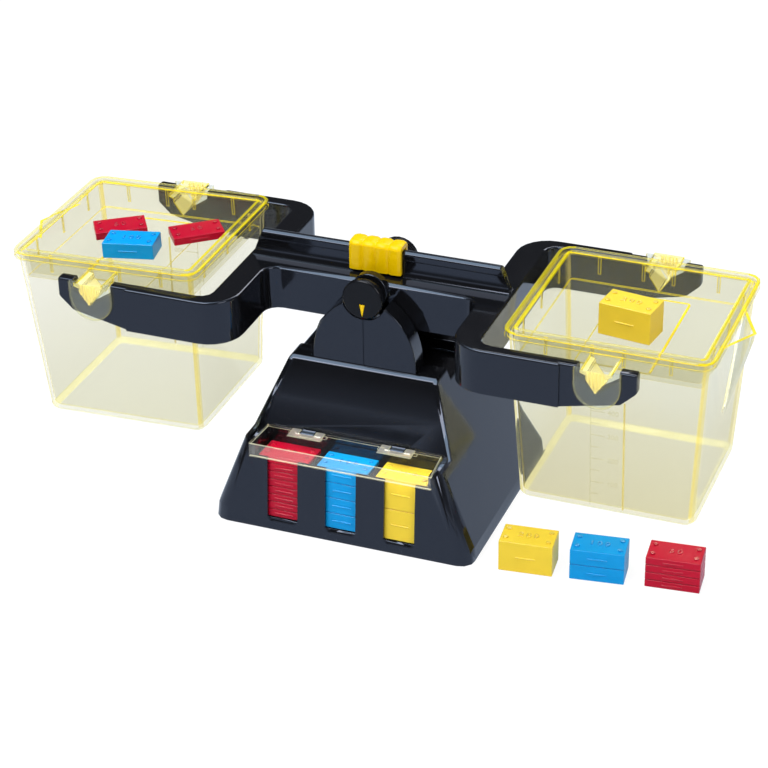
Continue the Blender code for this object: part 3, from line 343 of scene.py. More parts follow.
@dataclass(frozen=True)
class BrightSteel(Finish):
    """Ground steel with fine scratches."""

    name: str = "ground_steel"
    colour: Triple = (0.62, 0.62, 0.64)
    roughness: Pair = (0.18, 0.32)
    scratches: float = 900.0

    def surfaced(self, nodes: Nodes) -> bpy.types.Node:
        """Build the nodes, as Finish.surfaced says."""
        return nodes.add("BsdfPrincipled", Base_Color=(*self.colour, 1.0), Metallic=1.0,
                         Roughness=nodes.spread(nodes.noise(self.scratches, 2.0), *self.roughness))


GLOSS_BLACK = GlossBlack()
DIAL_BLACK = GlossBlack(name="dial_black", tint=(0.85, 0.85, 0.9), shine=0.22,
                        roughness=(0.1, 0.16))
# The foot colours of both pails are painted shade towards the bottom.
BUCKET_CLEAR = ClearPlastic(foot=(0.845, 0.838, 0.745))
# The right pail's plastic is a darker copy of the left pail's: painted shade, as both pails are the
# same plastic.
BUCKET_SHADED = ClearPlastic(name="clear_yellow_painted_shade", surface=(0.86, 0.865, 0.81),
                           foot=(0.815, 0.793, 0.65))
LID_CLEAR = ClearPlastic(name="clear_lid_yellow", surface=(0.84, 0.828, 0.715))
BUCKET_EDGE = ClearPlastic(name="clear_yellow_edge", surface=(0.97, 0.77, 0.02), roughness=0.05,
                           clearness=0.5)
BUCKET_CORNER = ClearPlastic(name="clear_yellow_corner", surface=(0.96, 0.84, 0.36), clearness=0.8)
# The pale and the saturated beads are one plastic; the split between them is painted light.
BEAD_PALE = ClearPlastic(name="clear_pale_bead", surface=(0.96, 0.88, 0.4), clearness=0.8)
LEVEL_MARK = ClearPlastic(name="level_mark", surface=(0.92, 0.9, 0.78), clearness=0.96)
FOOT_PALE = ClearPlastic(name="clear_pale_foot", surface=(0.94, 0.89, 0.56), clearness=0.84)
LUG_FROST = ClearPlastic(name="frosted_yellow_lug", surface=(0.96, 0.85, 0.38), roughness=0.3,
                         clearness=0.5)
PLATE_FROST = ClearPlastic(name="frosted_hanger", surface=(0.76, 0.8, 0.76), roughness=0.12,
                           clearness=0.93)
COVER_CLEAR = ClearPlastic(name="clear_cream_cover", surface=(0.96, 0.955, 0.93),
                           shadow=(0.97, 0.96, 0.93), clearness=1.0, skin=0.12)
COVER_LIP = ClearPlastic(name="cover_cream_lip", surface=(0.97, 0.93, 0.85), clearness=0.86, skin=0.5)
COVER_EDGE = ClearPlastic(name="cover_cream_edge", surface=(0.93, 0.86, 0.58), roughness=0.05,
                          clearness=0.5)
COVER_TAB = ClearPlastic(name="cover_cream_tab", surface=(0.9, 0.8, 0.66), roughness=0.12,
                         clearness=0.7)
RIDER_YELLOW = MassPlastic(name="rider_yellow", colour=(0.98, 0.6, 0.0), roughness=(0.22, 0.32))
STEEL = BrightSteel()


class Colour(Enum):
    """The masses' colours and finishes."""

    RED = MassPlastic(name="satin_red", colour=(0.53, 0.002, 0.026))
    BLUE = MassPlastic(name="satin_blue", colour=(0.0, 0.33, 0.75))
    YELLOW = MassPlastic(name="satin_yellow", colour=(0.95, 0.66, 0.045))


# Bench work


class Bench:
    """Tools for shaping pieces as by hand."""

    @staticmethod
    def only(piece: Piece) -> None:
        """Select one piece alone and make it active.

        Args:
            piece: The piece to work on.
        """
        for other in bpy.context.selected_objects:
            other.select_set(False)
        piece.select_set(True)
        bpy.context.view_layer.objects.active = piece

    @staticmethod
    def added(name: str) -> Piece:
        """Name what has just been added and move its place, turn and size into its mesh.

        Args:
            name: The piece's name.

        Returns:
            The new piece, alone in the selection.
        """
        piece = bpy.context.active_object
        piece.name = piece.data.name = name
        Bench.only(piece)
        bpy.ops.object.transform_apply(location=True, rotation=True, scale=True)
        return piece

    @staticmethod
    def block(name: str, size: Triple, centre: Triple) -> Piece:
        """Add a block.

        Args:
            name: The piece's name.
            size: Its length along X, Y and Z.
            centre: Its middle.

        Returns:
            The block.
        """
        bpy.ops.mesh.primitive_cube_add(size=1.0, location=centre, scale=size)
        return Bench.added(name)

    @staticmethod
    def rod(name: str, radius: float, length: float, centre: Triple, sides: int,
            axis: Axis = Axis.Z) -> Piece:
        """Add a round bar.

        Args:
            name: The piece's name.
            radius: Its radius.
            length: Its length.
            centre: Its middle.
            sides: How many sides it has.
            axis: The axis along which it lies.

        Returns:
            The bar.
        """
        bpy.ops.mesh.primitive_cylinder_add(vertices=sides, radius=radius, depth=length,
                                            location=centre, rotation=axis.value)
        return Bench.added(name)

    @staticmethod
    def number(name: str, figures: str, place: Triple, style: dict[str, object],
               turn: Triple = (0.0, 0.0, 0.0)) -> Piece:
        """Make a raised number.

        Args:
            name: The piece's name.
            figures: The number.
            place: Where it stands.
            style: The text's settings by name.
            turn: Its turn about X, Y and Z.

        Returns:
            The number as a mesh.
        """
        bpy.ops.object.text_add(location=place, rotation=turn)
        text = bpy.context.active_object
        text.data.body = figures
        text.data.align_y = "CENTER"
        for setting, value in style.items():
            setattr(text.data, setting, value)
        Bench.only(text)
        bpy.ops.object.convert(target="MESH")
        number = Bench.added(name)
        Bench.merge(number)
        return number

    @staticmethod
    def apply(piece: Piece, modifier: bpy.types.Modifier) -> None:
        """Apply a modifier to a piece.

        Args:
            piece: The piece.
            modifier: The modifier on it.
        """
        Bench.only(piece)
        bpy.ops.object.modifier_apply(modifier=modifier.name)

    @staticmethod
    def room_at(edge: bmesh.types.BMEdge) -> float:
        """Find the least length or width of what meets at an edge's ends.

        Args:
            edge: The edge.

        Returns:
            The room for a rounding, in metres.
        """
        lengths = [met.calc_length() for end in edge.verts for met in end.link_edges]
        faces = {face for end in edge.verts for face in end.link_faces}
        return min(lengths + [2 * face.calc_area() / face.calc_perimeter() for face in faces])

    @staticmethod
    def break_edges(piece: Piece, edge: EdgeBreak, segments: int = 2, slot: int = -1,
                    spare: Spare | None = None) -> None:
        """Round a piece's sharp edges, less where there is little room.

        Args:
            piece: The piece.
            edge: How far to round them.
            segments: How many facets each rounding has.
            slot: The finish of the roundings, by slot, or -1 for their neighbours' finish.
            spare: Tells the places whose edges stay sharp.
        """
        shape = bmesh.new()
        shape.from_mesh(piece.data)
        weight = shape.edges.layers.float.new("bevel_weight_edge")
        for side in shape.edges:
            sharp = side.is_manifold and side.calc_face_angle(0.0) > SHARP
            spared = spare is not None and all(spare(end.co) for end in side.verts)
            room = Bench.room_at(side) if sharp and not spared else 0.0
            share = min(room / (ROOM_SHARE * edge.value), 1.0)
            side[weight] = share if share > LEAST_SHARE else 0.0
        shape.to_mesh(piece.data)
        shape.free()
        bevel = piece.modifiers.new("edges", "BEVEL")
        bevel.width = edge.value
        bevel.segments = segments
        bevel.limit_method = "WEIGHT"
        bevel.use_clamp_overlap = False
        bevel.material = slot
        Bench.apply(piece, bevel)

    @staticmethod
    def smooth(piece: Piece, angle: float = 40.0) -> None:
        """Shade a piece's round faces smooth and keep its large faces flat.

        Args:
            piece: The piece.
            angle: The sharpest edge that is still smoothed, in degrees.
        """
        Bench.only(piece)
        bpy.ops.object.shade_smooth_by_angle(angle=math.radians(angle))
        shape = bmesh.new()
        shape.from_mesh(piece.data)
        for side in shape.edges:
            broad = side.is_manifold and all(f.calc_area() > LARGE_FACE for f in side.link_faces)
            if broad and side.calc_face_angle(0.0) > FLAT:
                side.smooth = False
        shape.to_mesh(piece.data)
        shape.free()
        weighted = piece.modifiers.new("normals", "WEIGHTED_NORMAL")
        weighted.mode = "FACE_AREA_WITH_ANGLE"
        weighted.keep_sharp = True
        Bench.apply(piece, weighted)

    @staticmethod
    def merge(piece: Piece) -> None:
        """Merge a piece's doubled points and dissolve the lines across its flat faces.

        Args:
            piece: The piece.
        """
        Bench.only(piece)
        bpy.ops.object.mode_set(mode="EDIT")
        bpy.ops.mesh.select_all(action="SELECT")
        bpy.ops.mesh.remove_doubles(threshold=DOUBLED)
        bpy.ops.mesh.dissolve_limited(angle_limit=ONE_FACE)
        bpy.ops.mesh.select_all(action="DESELECT")
        bpy.ops.object.mode_set(mode="OBJECT")

    @staticmethod
    def cut(piece: Piece, tool: Piece) -> None:
        """Cut a tool out of a piece and use the tool up.

        Args:
            piece: The piece.
            tool: The tool.
        """
        boolean = piece.modifiers.new("cut", "BOOLEAN")
        boolean.operation = "DIFFERENCE"
        boolean.solver = "EXACT"
        boolean.object = tool
        Bench.apply(piece, boolean)
        bpy.data.objects.remove(tool, do_unlink=True)

    @staticmethod
    def gather(pieces: list[Piece]) -> None:
        """Join pieces into the first of them.

        Args:
            pieces: The pieces to join.
        """
        Bench.only(pieces[0])
        for piece in pieces[1:]:
            piece.select_set(True)
        bpy.ops.object.join()

    @staticmethod
    def copied(piece: Piece, name: str) -> Piece:
        """Copy a piece with its own mesh.

        Args:
            piece: The pattern.
            name: The copy's name.

        Returns:
            The copy.
        """
        copy = bpy.data.objects.new(name, piece.data.copy())
        bpy.context.scene.collection.objects.link(copy)
        return copy

    @staticmethod
    def coat(piece: Piece, *finishes: Finish) -> None:
        """Give a piece its finishes, the first of them all over.

        Args:
            piece: The piece.
            finishes: Its finishes, by slot.
        """
        piece.data.materials.clear()
        for finish in finishes:
            piece.data.materials.append(finish.material())

    @staticmethod
    def fix(piece: Piece, body: str, *nodes: str) -> None:
        """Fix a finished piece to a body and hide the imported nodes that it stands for.

        Args:
            piece: The piece.
            body: The body that it moves with.
            nodes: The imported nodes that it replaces.
        """
        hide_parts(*nodes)
        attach(piece, body)
        LOG.info("%s: %d faces, rides on %s", piece.name, len(piece.data.polygons), body)


def near(value: float, wanted: float) -> bool:
    """Tell whether a measure is that of a packed edge.

    Args:
        value: The measure.
        wanted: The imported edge's measure.

    Returns:
        Whether they are the same.
    """
    return abs(value - wanted) < POINT_SLACK


def leaning_left() -> Matrix:
    """Give the lean of what hangs on the left knife edge.

    Returns:
        The leaning matrix.
    """
    across, height = KNIFE_EDGE
    hinge = Matrix.Translation((-across, 0.0, height))
    return hinge @ Matrix.Rotation(LEFT_LEAN, 4, "Y") @ hinge.inverted()


# Sub-assemblies


@dataclass
class Assembly:
    """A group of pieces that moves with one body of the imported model."""

    frame: dict
    body: str

    @property
    def place(self) -> Matrix:
        """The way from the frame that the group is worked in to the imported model's frame."""
        return Matrix()

    def assign(self, piece: Piece, finish: Finish, wanted: FaceTest, *among: Finish) -> None:
        """Give some faces another of the piece's finishes.

        Args:
            piece: The piece.
            finish: The finish.
            wanted: Tells the faces, by middle and normal in the frame that the group is worked in.
            among: The finishes whose faces may change, or none for the piece's first finish.
        """
        names = [material.name for material in piece.data.materials]
        open_slots = [names.index(other.name) for other in among] or [0]
        back = self.place.inverted()
        turn = back.to_3x3()
        for face in piece.data.polygons:
            if face.material_index in open_slots and wanted(back @ face.center, turn @ face.normal):
                face.material_index = names.index(finish.name)

    def dress(self, node: str, name: str, *finishes: Finish, edge: EdgeBreak, segments: int = 2,
              spare: Spare | None = None, shift: Shift | None = None,
              first: Work | None = None, then: Work | None = None) -> None:
        """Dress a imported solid: merge a copy, round its edges, shade it and fix it.

        Args:
            node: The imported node.
            name: The new piece's name.
            finishes: Its finishes, by slot. The second one goes on the rounded edges.
            edge: How far its sharp edges are rounded.
            segments: How many facets each rounding has.
            spare: Tells the places whose edges stay sharp.
            shift: Moves its points before anything is rounded.
            first: Works on the piece before its edges are rounded.
            then: Works on the piece between its rounding and its shading.
        """
        piece = Bench.copied(self.frame["nodes"][node], name)
        Bench.coat(piece, *finishes)
        Bench.merge(piece)
        if shift:
            for point in piece.data.vertices:
                point.co = shift(point.co.copy())
            piece.data.update()
        if first:
            first(piece)
        Bench.break_edges(piece, edge, segments, 1 if len(finishes) > 1 else -1, spare)
        if then:
            then(piece)
        Bench.smooth(piece)
        Bench.fix(piece, self.body, node)


@dataclass
class Base(Assembly):
    """The pyramid base with its mass store, uprights, bearings and hinge pins."""

    body: str = "base"
    dome_foot: float = 97.0 * MM
    store_corner: Pair = (-44.0 * MM, 60.0 * MM)
    brow_line: tuple[Pair, Pair] = ((-32.65 * MM, 93.87 * MM), (-29.6 * MM, 95.9 * MM))
    brow_size: Triple = (120.0 * MM, 8.0 * MM, 4.0 * MM)

    def blunt(self, shell: Piece) -> None:
        """Slant the front edge of the base's top, and round all but the store's edges boldly.

        Args:
            shell: The base's shell.
        """
        (near_y, low), (far_y, high) = self.brow_line
        tool = Bench.block("brow", self.brow_size, (0.0, 0.0, self.brow_size[2] / 2))
        tool.data.transform(Matrix.Translation((0.0, (near_y + far_y) / 2, (low + high) / 2))
                            @ Matrix.Rotation(math.atan2(high - low, far_y - near_y), 4, "X"))
        Bench.cut(shell, tool)
        back, top = self.store_corner
        Bench.break_edges(shell, EdgeBreak.BOLD, 3,
                          spare=lambda place: place.y < back and place.z < top)

    def build(self) -> None:
        """Dress the base's pieces."""
        self.dress("base_shell", "pyramid_shell", GLOSS_BLACK, edge=EdgeBreak.SOFT,
                   first=self.blunt)
        self.dress("base_plate", "under_plate", GLOSS_BLACK, edge=EdgeBreak.CRISP)
        for side in ("front", "rear"):
            self.dress(f"{side}_upright", f"{side}_dome", GLOSS_BLACK, edge=EdgeBreak.BROAD,
                       segments=3, spare=lambda place: place.z < self.dome_foot)
            self.dress(f"{side}_bearing", f"{side}_bearing_plate", STEEL, edge=EdgeBreak.STAMPED)
        for side in ("left", "right"):
            self.dress(f"{side}_hinge_pin", f"{side}_cover_pin", STEEL, edge=EdgeBreak.STAMPED)


@dataclass
class Cover(Assembly):
    """The clear cover over the mass store."""

    body: str = "cover"
    tab_top: float = 56.5 * MM
    lip_turn: float = -0.9

    def zoned(self, cover: Piece) -> None:
        """Give the front lip and the tabs' tops their own finishes.

        Args:
            cover: The cover.
        """
        self.assign(cover, COVER_LIP, lambda _, normal: normal.y < self.lip_turn)
        self.assign(cover, COVER_TAB, lambda middle, _: middle.z > self.tab_top)

    def build(self) -> None:
        """Dress the cover."""
        self.dress("storage_cover", "store_cover", COVER_CLEAR, COVER_EDGE, COVER_LIP, COVER_TAB,
                   edge=EdgeBreak.SOFT, then=self.zoned)


@dataclass
class Beam(Assembly):
    """The beam with its axle, pointer discs and pointers."""

    body: str = "beam_assembly"
    web_top: float = 143.7 * MM
    web_reach: float = 82.0 * MM
    web_edge: Pair = (13.5 * MM, 12.3 * MM)
    web_side: Triple = (143.25 * MM, 14.55 * MM, 142.6 * MM)
    rail_top: float = 159.4 * MM
    rail_edge: Pair = (2.2 * MM, 0.7 * MM)
    rail_side: Pair = (158.6 * MM, 158.05 * MM)

    def broadened(self, point: Vector) -> Vector:
        """Broaden the slanted edges along the web's and the rail's top.

        Args:
            point: A point of the beam.

        Returns:
            Its new place.
        """
        if abs(point.x) < self.web_reach:
            if near(point.z, self.web_top) and near(abs(point.y), self.web_edge[0]):
                point.y = math.copysign(self.web_edge[1], point.y)
            if near(point.z, self.web_side[0]) and near(abs(point.y), self.web_side[1]):
                point.z = self.web_side[2]
        if near(point.z, self.rail_top) and near(abs(point.y), self.rail_edge[0]):
            point.y = math.copysign(self.rail_edge[1], point.y)
        if near(point.z, self.rail_side[0]):
            point.z = self.rail_side[1]
        return point

    def build(self) -> None:
        """Dress the beam's pieces."""
        self.dress("beam", "fork_beam", GLOSS_BLACK, edge=EdgeBreak.BROAD, segments=3,
                   shift=self.broadened)
        self.dress("pivot_axle", "pivot_rod", STEEL, edge=EdgeBreak.STAMPED)
        for side in ("front", "rear"):
            self.dress(f"{side}_disc", f"{side}_dial", DIAL_BLACK, edge=EdgeBreak.BROAD,
                       segments=3)
            self.dress(f"{side}_pointer", f"{side}_arrow", RIDER_YELLOW, edge=EdgeBreak.STAMPED)


@dataclass
class Rider(Assembly):
    """The yellow rider that sets the pointer to zero."""

    body: str = "rider"
    roof: float = 160.0 * MM
    roof_share: float = 0.72
    skirt: Pair = (146.9 * MM, 145.2 * MM)

    def lowered(self, point: Vector) -> Vector:
        """Lower the ribs' crowns and the skirt's foot.

        Args:
            point: A point of the rider.

        Returns:
            Its new place.
        """
        if point.z > self.roof:
            point.z = self.roof + self.roof_share * (point.z - self.roof)
        if near(point.z, self.skirt[0]):
            point.z = self.skirt[1]
        return point

    def build(self) -> None:
        """Dress the rider."""
        self.dress("zero_rider", "ribbed_rider", RIDER_YELLOW, edge=EdgeBreak.SOFT, segments=3,
                   shift=self.lowered)


@dataclass
class Moulding(Assembly):
    """A clear moulding on one end of the beam, worked in its own frame about its middle."""

    label: str = "right"
    clear: ClearPlastic = BUCKET_SHADED

    @property
    def place(self) -> Matrix:
        """The way from the moulding's own frame to its place on the beam."""
        if self.label == "right":
            return Matrix.Translation((KNIFE_EDGE[0], 0.0, 0.0))
        turned = Matrix.Translation((-KNIFE_EDGE[0], 0.0, 0.0)) @ Matrix.Rotation(math.pi, 4, "Z")
        return leaning_left() @ turned

    def added(self, piece: Piece, *finishes: Finish) -> Piece:
        """Finish a small added shape and move it from the moulding's frame to its place.

        Args:
            piece: The shape.
            finishes: Its finishes, by slot. The second one goes on its rounded edges.

        Returns:
            The shape in its place.
        """
        Bench.coat(piece, *finishes)
        if len(finishes) > 1:
            Bench.break_edges(piece, EdgeBreak.CRISP, slot=1)
        piece.data.transform(self.place)
        return piece

    def zoned(self, piece: Piece) -> None:
        """Give the moulding's zones their own finishes.

        Args:
            piece: The moulding.
        """
        raise NotImplementedError

    def shapes(self) -> list[Piece]:
        """Make the moulding's small shapes.

        Returns:
            The shapes in their places.
        """
        raise NotImplementedError

    def fit_out(self, piece: Piece) -> None:
        """Give the moulding its zones and join its small shapes to it.

        Args:
            piece: The moulding.
        """
        self.zoned(piece)
        Bench.gather([piece, *self.shapes()])


@dataclass
class Bucket(Moulding):
    """A clear bucket on its knife edges."""

    lug_reach: float = 57.5 * MM
    lug_top: float = 142.0 * MM
    lug_half_width: float = 9.5 * MM
    lug_tilt: float = 0.8
    lug_face: float = 74.8 * MM
    flute_pitch: float = 2.1 * MM
    flute_radius: float = 0.75 * MM
    flute_top: float = 143.4 * MM
    knife_slope: float = 8.4 / 5.9
    flute_lift: float = 1.2 * MM
    plate_half_width: float = 14.0 * MM
    plate_face: Pair = (71.1 * MM, 73.5 * MM)
    wall_corner: float = 38.0 * MM
    corner_span: float = math.radians(20.0)
    spout_reach: float = 58.5 * MM
    spout_tilt: float = 0.7
    foot_top: float = 45.0 * MM
    foot_tilt: Pair = (0.3, 0.95)
    wall_foot: Pair = (47.05 * MM, 38.8 * MM)
    wall_lean: float = math.atan(7.9 / 108.7)
    rib_place: Triple = (10.7 * MM, 4.0 * MM, 76.0 * MM)
    rib_size: Pair = (0.9 * MM, 0.8 * MM)
    scale_left: float = -8.5 * MM
    scale_step: float = 8.0 * MM
    scale_marks: int = 8
    line: float = 0.5 * MM
    tick_lengths: Pair = (8.0 * MM, 5.0 * MM)
    figure_left: float = 1.0 * MM

    def zoned(self, piece: Piece) -> None:
        """Give the lugs, plates, corners and foot their finishes, as Moulding.zoned says."""
        inner, outer = self.plate_face
        low, high = self.foot_tilt

        def on_lug(middle: Vector, normal: Vector) -> bool:
            return (abs(middle.y) > self.lug_reach and abs(middle.x) < self.lug_half_width
                    and normal.z < self.lug_tilt)

        def on_corner(middle: Vector, normal: Vector) -> bool:
            if not self.wall_corner < abs(middle.y) < self.lug_reach or abs(normal.z) > UPRIGHT:
                return False
            turn = math.atan2(abs(normal.y), abs(normal.x))
            return abs(turn - math.pi / 4) < self.corner_span

        self.assign(piece, PLATE_FROST, lambda middle, _: (
            inner < abs(middle.y) < outer and abs(middle.x) < self.plate_half_width))
        self.assign(piece, BUCKET_CORNER, lambda middle, _: (
            abs(middle.y) > self.lug_reach and middle.z < self.lug_top), BUCKET_EDGE)
        self.assign(piece, LUG_FROST, on_lug)
        self.assign(piece, BUCKET_CORNER, on_corner)
        self.assign(piece, FOOT_PALE, lambda middle, normal: (
            middle.z < self.foot_top and low < abs(normal.z) < high))
        self.assign(piece, FOOT_PALE, lambda middle, _: middle.z < self.foot_top, BUCKET_EDGE)
        self.assign(piece, BUCKET_EDGE, lambda middle, normal: (
            middle.x > self.spout_reach and normal.z > self.spout_tilt))

    def flutes(self) -> list[Piece]:
        """Make the upright flutes on the knife lugs.

        Returns:
            The flutes in their places.
        """
        made = []
        for side in (-1, 1):
            for step in (-2, -1, 0, 1, 2):
                x = step * self.flute_pitch
                low = KNIFE_EDGE[1] + abs(x) * self.knife_slope + self.flute_lift
                flute = Bench.rod("flute", self.flute_radius, self.flute_top - low,
                                  (x, side * self.lug_face, (self.flute_top + low) / 2), sides=12)
                Bench.break_edges(flute, EdgeBreak.CRISP)
                made.append(self.added(flute, LUG_FROST))
        return made

    def scale(self) -> list[Piece]:
        """Make the front wall's rib, its level marks and their plain numbers.

        Each shape is made flat at the wall's foot and then laid on the leaning wall.

        Returns:
            The shapes in their places.
        """
        x, low, high = self.rib_place
        middle, length = (low + high) / 2, high - low
        flat = [Bench.block("rib", (*self.rib_size, length), (x, 0.0, middle)),
                Bench.block("rib", (self.line, self.line, length), (self.scale_left, 0.0, middle))]
        style = {"size": 4.4 * MM, "extrude": 0.25 * MM, "resolution_u": 3}
        for step in range(1, self.scale_marks + 1):
            height = low + step * self.scale_step
            length = self.tick_lengths[step % 2]
            flat.append(Bench.block("tick", (length, self.line, self.line),
                                    (self.scale_left + length / 2, 0.0, height)))
            if step % 2 == 0:
                flat.append(Bench.number("level_figure", str(step * NUMBER_STEP),
                                         (self.figure_left, 0.0, height), style,
                                         (math.pi / 2, 0.0, 0.0)))
        depth, foot = self.wall_foot
        wall = Matrix.Translation((0.0, -depth, foot)) @ Matrix.Rotation(self.wall_lean, 4, "X")
        for shape in flat:
            shape.data.transform(wall)
        rib, *marks = flat
        return [self.added(rib, BUCKET_CORNER), *(self.added(mark, LEVEL_MARK) for mark in marks)]

    def shapes(self) -> list[Piece]:
        """Make the flutes and the level scale, as Moulding.shapes says."""
        return [*self.flutes(), *self.scale()]

    def build(self) -> None:
        """Dress the bucket."""
        self.dress(f"{self.label}_bucket", f"{self.label}_pail", self.clear, BUCKET_EDGE,
                   LUG_FROST, PLATE_FROST, BUCKET_CORNER, FOOT_PALE, edge=EdgeBreak.SOFT,
                   spare=lambda place: abs(place.y) > self.lug_reach and place.z > self.lug_top,
                   then=self.fit_out)


@dataclass
class Lid(Moulding):
    """A clear tray lid with a beaded rim and locating ribs."""

    clear: ClearPlastic = LID_CLEAR
    # The sides whose beads get the saturated edge yellow; the beads are one plastic, so this split is
    # painted light.
    lit_bead_sides: tuple[int, ...] = (-1, 1)
    bead_foot: float = 149.06 * MM
    rim_inside: float = 52.0 * MM
    pad: Triple = (22.5 * MM, 130.1 * MM, 131.05 * MM)
    pad_edge: Pair = (1.1 * MM, 84.0 * MM)
    long_ribs: tuple[float, ...] = (-35.5 * MM, -9.0 * MM, 9.0 * MM, 35.5 * MM)
    short_ribs: tuple[float, ...] = (-33.0 * MM, 0.0, 33.0 * MM)
    rib_size: Triple = (1.9 * MM, 1.0 * MM, 11.0 * MM)
    wall: Pair = (54.5 * MM, 51.6 * MM)
    rib_middle: float = 142.0 * MM

    def zoned(self, piece: Piece) -> None:
        """Give the rim's beads and the pad's edge a stronger yellow, as Moulding.zoned says. On the
        beads this is painted light: they are one plastic, and only those on the listed sides get it.
        """
        half, low, high = self.pad

        def on_side(middle: Vector, _: Vector) -> bool:
            return (middle.z > self.bead_foot and abs(middle.x) > self.rim_inside
                    and math.copysign(1, middle.x) in self.lit_bead_sides)

        self.assign(piece, BEAD_PALE, lambda middle, _: middle.z > self.bead_foot, self.clear,
                    BUCKET_EDGE)
        self.assign(piece, BUCKET_EDGE, on_side, BEAD_PALE)
        self.assign(piece, BUCKET_EDGE, lambda middle, normal: (
            low < middle.z < high and abs(middle.x) < half and abs(normal.z) < UPRIGHT))

    def shapes(self) -> list[Piece]:
        """Make the tray's locating ribs and its middle pad's line, as Moulding.shapes says."""
        width, depth, height = self.rib_size
        spots = [((x, side * self.wall[1], self.rib_middle), (width, depth, height))
                 for side in (-1, 1) for x in self.long_ribs]
        spots += [((side * self.wall[0], y, self.rib_middle), (depth, width, height))
                  for side in (-1, 1) for y in self.short_ribs]
        ribs = [self.added(Bench.block("rib", size, centre), self.clear, BUCKET_EDGE)
                for centre, size in spots]
        half, low, high = self.pad
        width, length = self.pad_edge
        line = Bench.block("pad_line", (width, length, high - low),
                           (half - width, 0.0, (low + high) / 2))
        return [*ribs, self.added(line, BUCKET_EDGE)]

    def build(self) -> None:
        """Dress the lid."""
        self.dress(f"{self.label}_lid", f"{self.label}_tray", self.clear, BUCKET_EDGE, BEAD_PALE,
                   edge=EdgeBreak.CRISP, then=self.fit_out)


@dataclass
class MassPattern:
    """One kind of mass: a block with nesting studs, a grip line and its number."""

    units: int
    colour: Colour
    length: float = 31.5 * MM
    depth: float = 19.0 * MM
    unit_height: float = 5.0 * MM
    gap: float = 0.3 * MM
    stud_radius: float = 1.35 * MM
    stud_rise: float = 0.9 * MM
    stud_place: Pair = (12.4 * MM, 4.8 * MM)
    grip: Pair = (11.5 * MM, 0.5 * MM)
    edge_skin: Triple = (0.7, 0.07, 1.5)
    stud_skin: Triple = (1.0, 0.18, 2.3)

    @property
    def height(self) -> float:
        """The block's height without its studs."""
        return self.units * self.unit_height - self.gap

    def studs(self) -> list[Piece]:
        """Make the four domed studs.

        Returns:
            The studs.
        """
        made = []
        for x in (-self.stud_place[0], self.stud_place[0]):
            for y in (-self.stud_place[1], self.stud_place[1]):
                stud = Bench.rod("stud", self.stud_radius, 2 * self.stud_rise,
                                 (x, y, self.height), sides=20)
                Bench.break_edges(stud, EdgeBreak.BROAD, 4)
                made.append(stud)
        return made

    def build(self) -> Piece:
        """Build the pattern, standing on the origin.

        Returns:
            The pattern, to be copied and then removed.
        """
        edge = self.colour.value.polished("edge", self.edge_skin)
        body = Bench.block("mass_block", (self.length, self.depth, self.height),
                           (0.0, 0.0, self.height / 2))
        Bench.coat(body, self.colour.value, edge)
        Bench.break_edges(body, EdgeBreak.SOFT, 3, slot=1)
        length, radius = self.grip
        bar = Bench.rod("grip", radius, length, (0.0, -self.depth / 2, self.height / 2),
                        sides=16, axis=Axis.X)
        Bench.break_edges(bar, EdgeBreak.CRISP)
        Bench.coat(bar, edge)
        style = {"align_x": "CENTER", "size": 5.98 * MM, "space_character": 1.5,
                 "extrude": 0.4 * MM, "bevel_depth": 0.12 * MM, "resolution_u": 4}
        raised = [*self.studs(), Bench.number("figure", str(self.units * NUMBER_STEP),
                                              (0.0, 0.0, self.height), style)]
        for shape in raised:
            Bench.coat(shape, self.colour.value.polished("stud", self.stud_skin))
        Bench.gather([body, bar, *raised])
        Bench.smooth(body, 35.0)
        return body


@dataclass
class MassSpot:
    """Where a stack of masses stands and which nodes it replaces."""

    nodes: list[str]
    body: str
    units: int
    place: Matrix


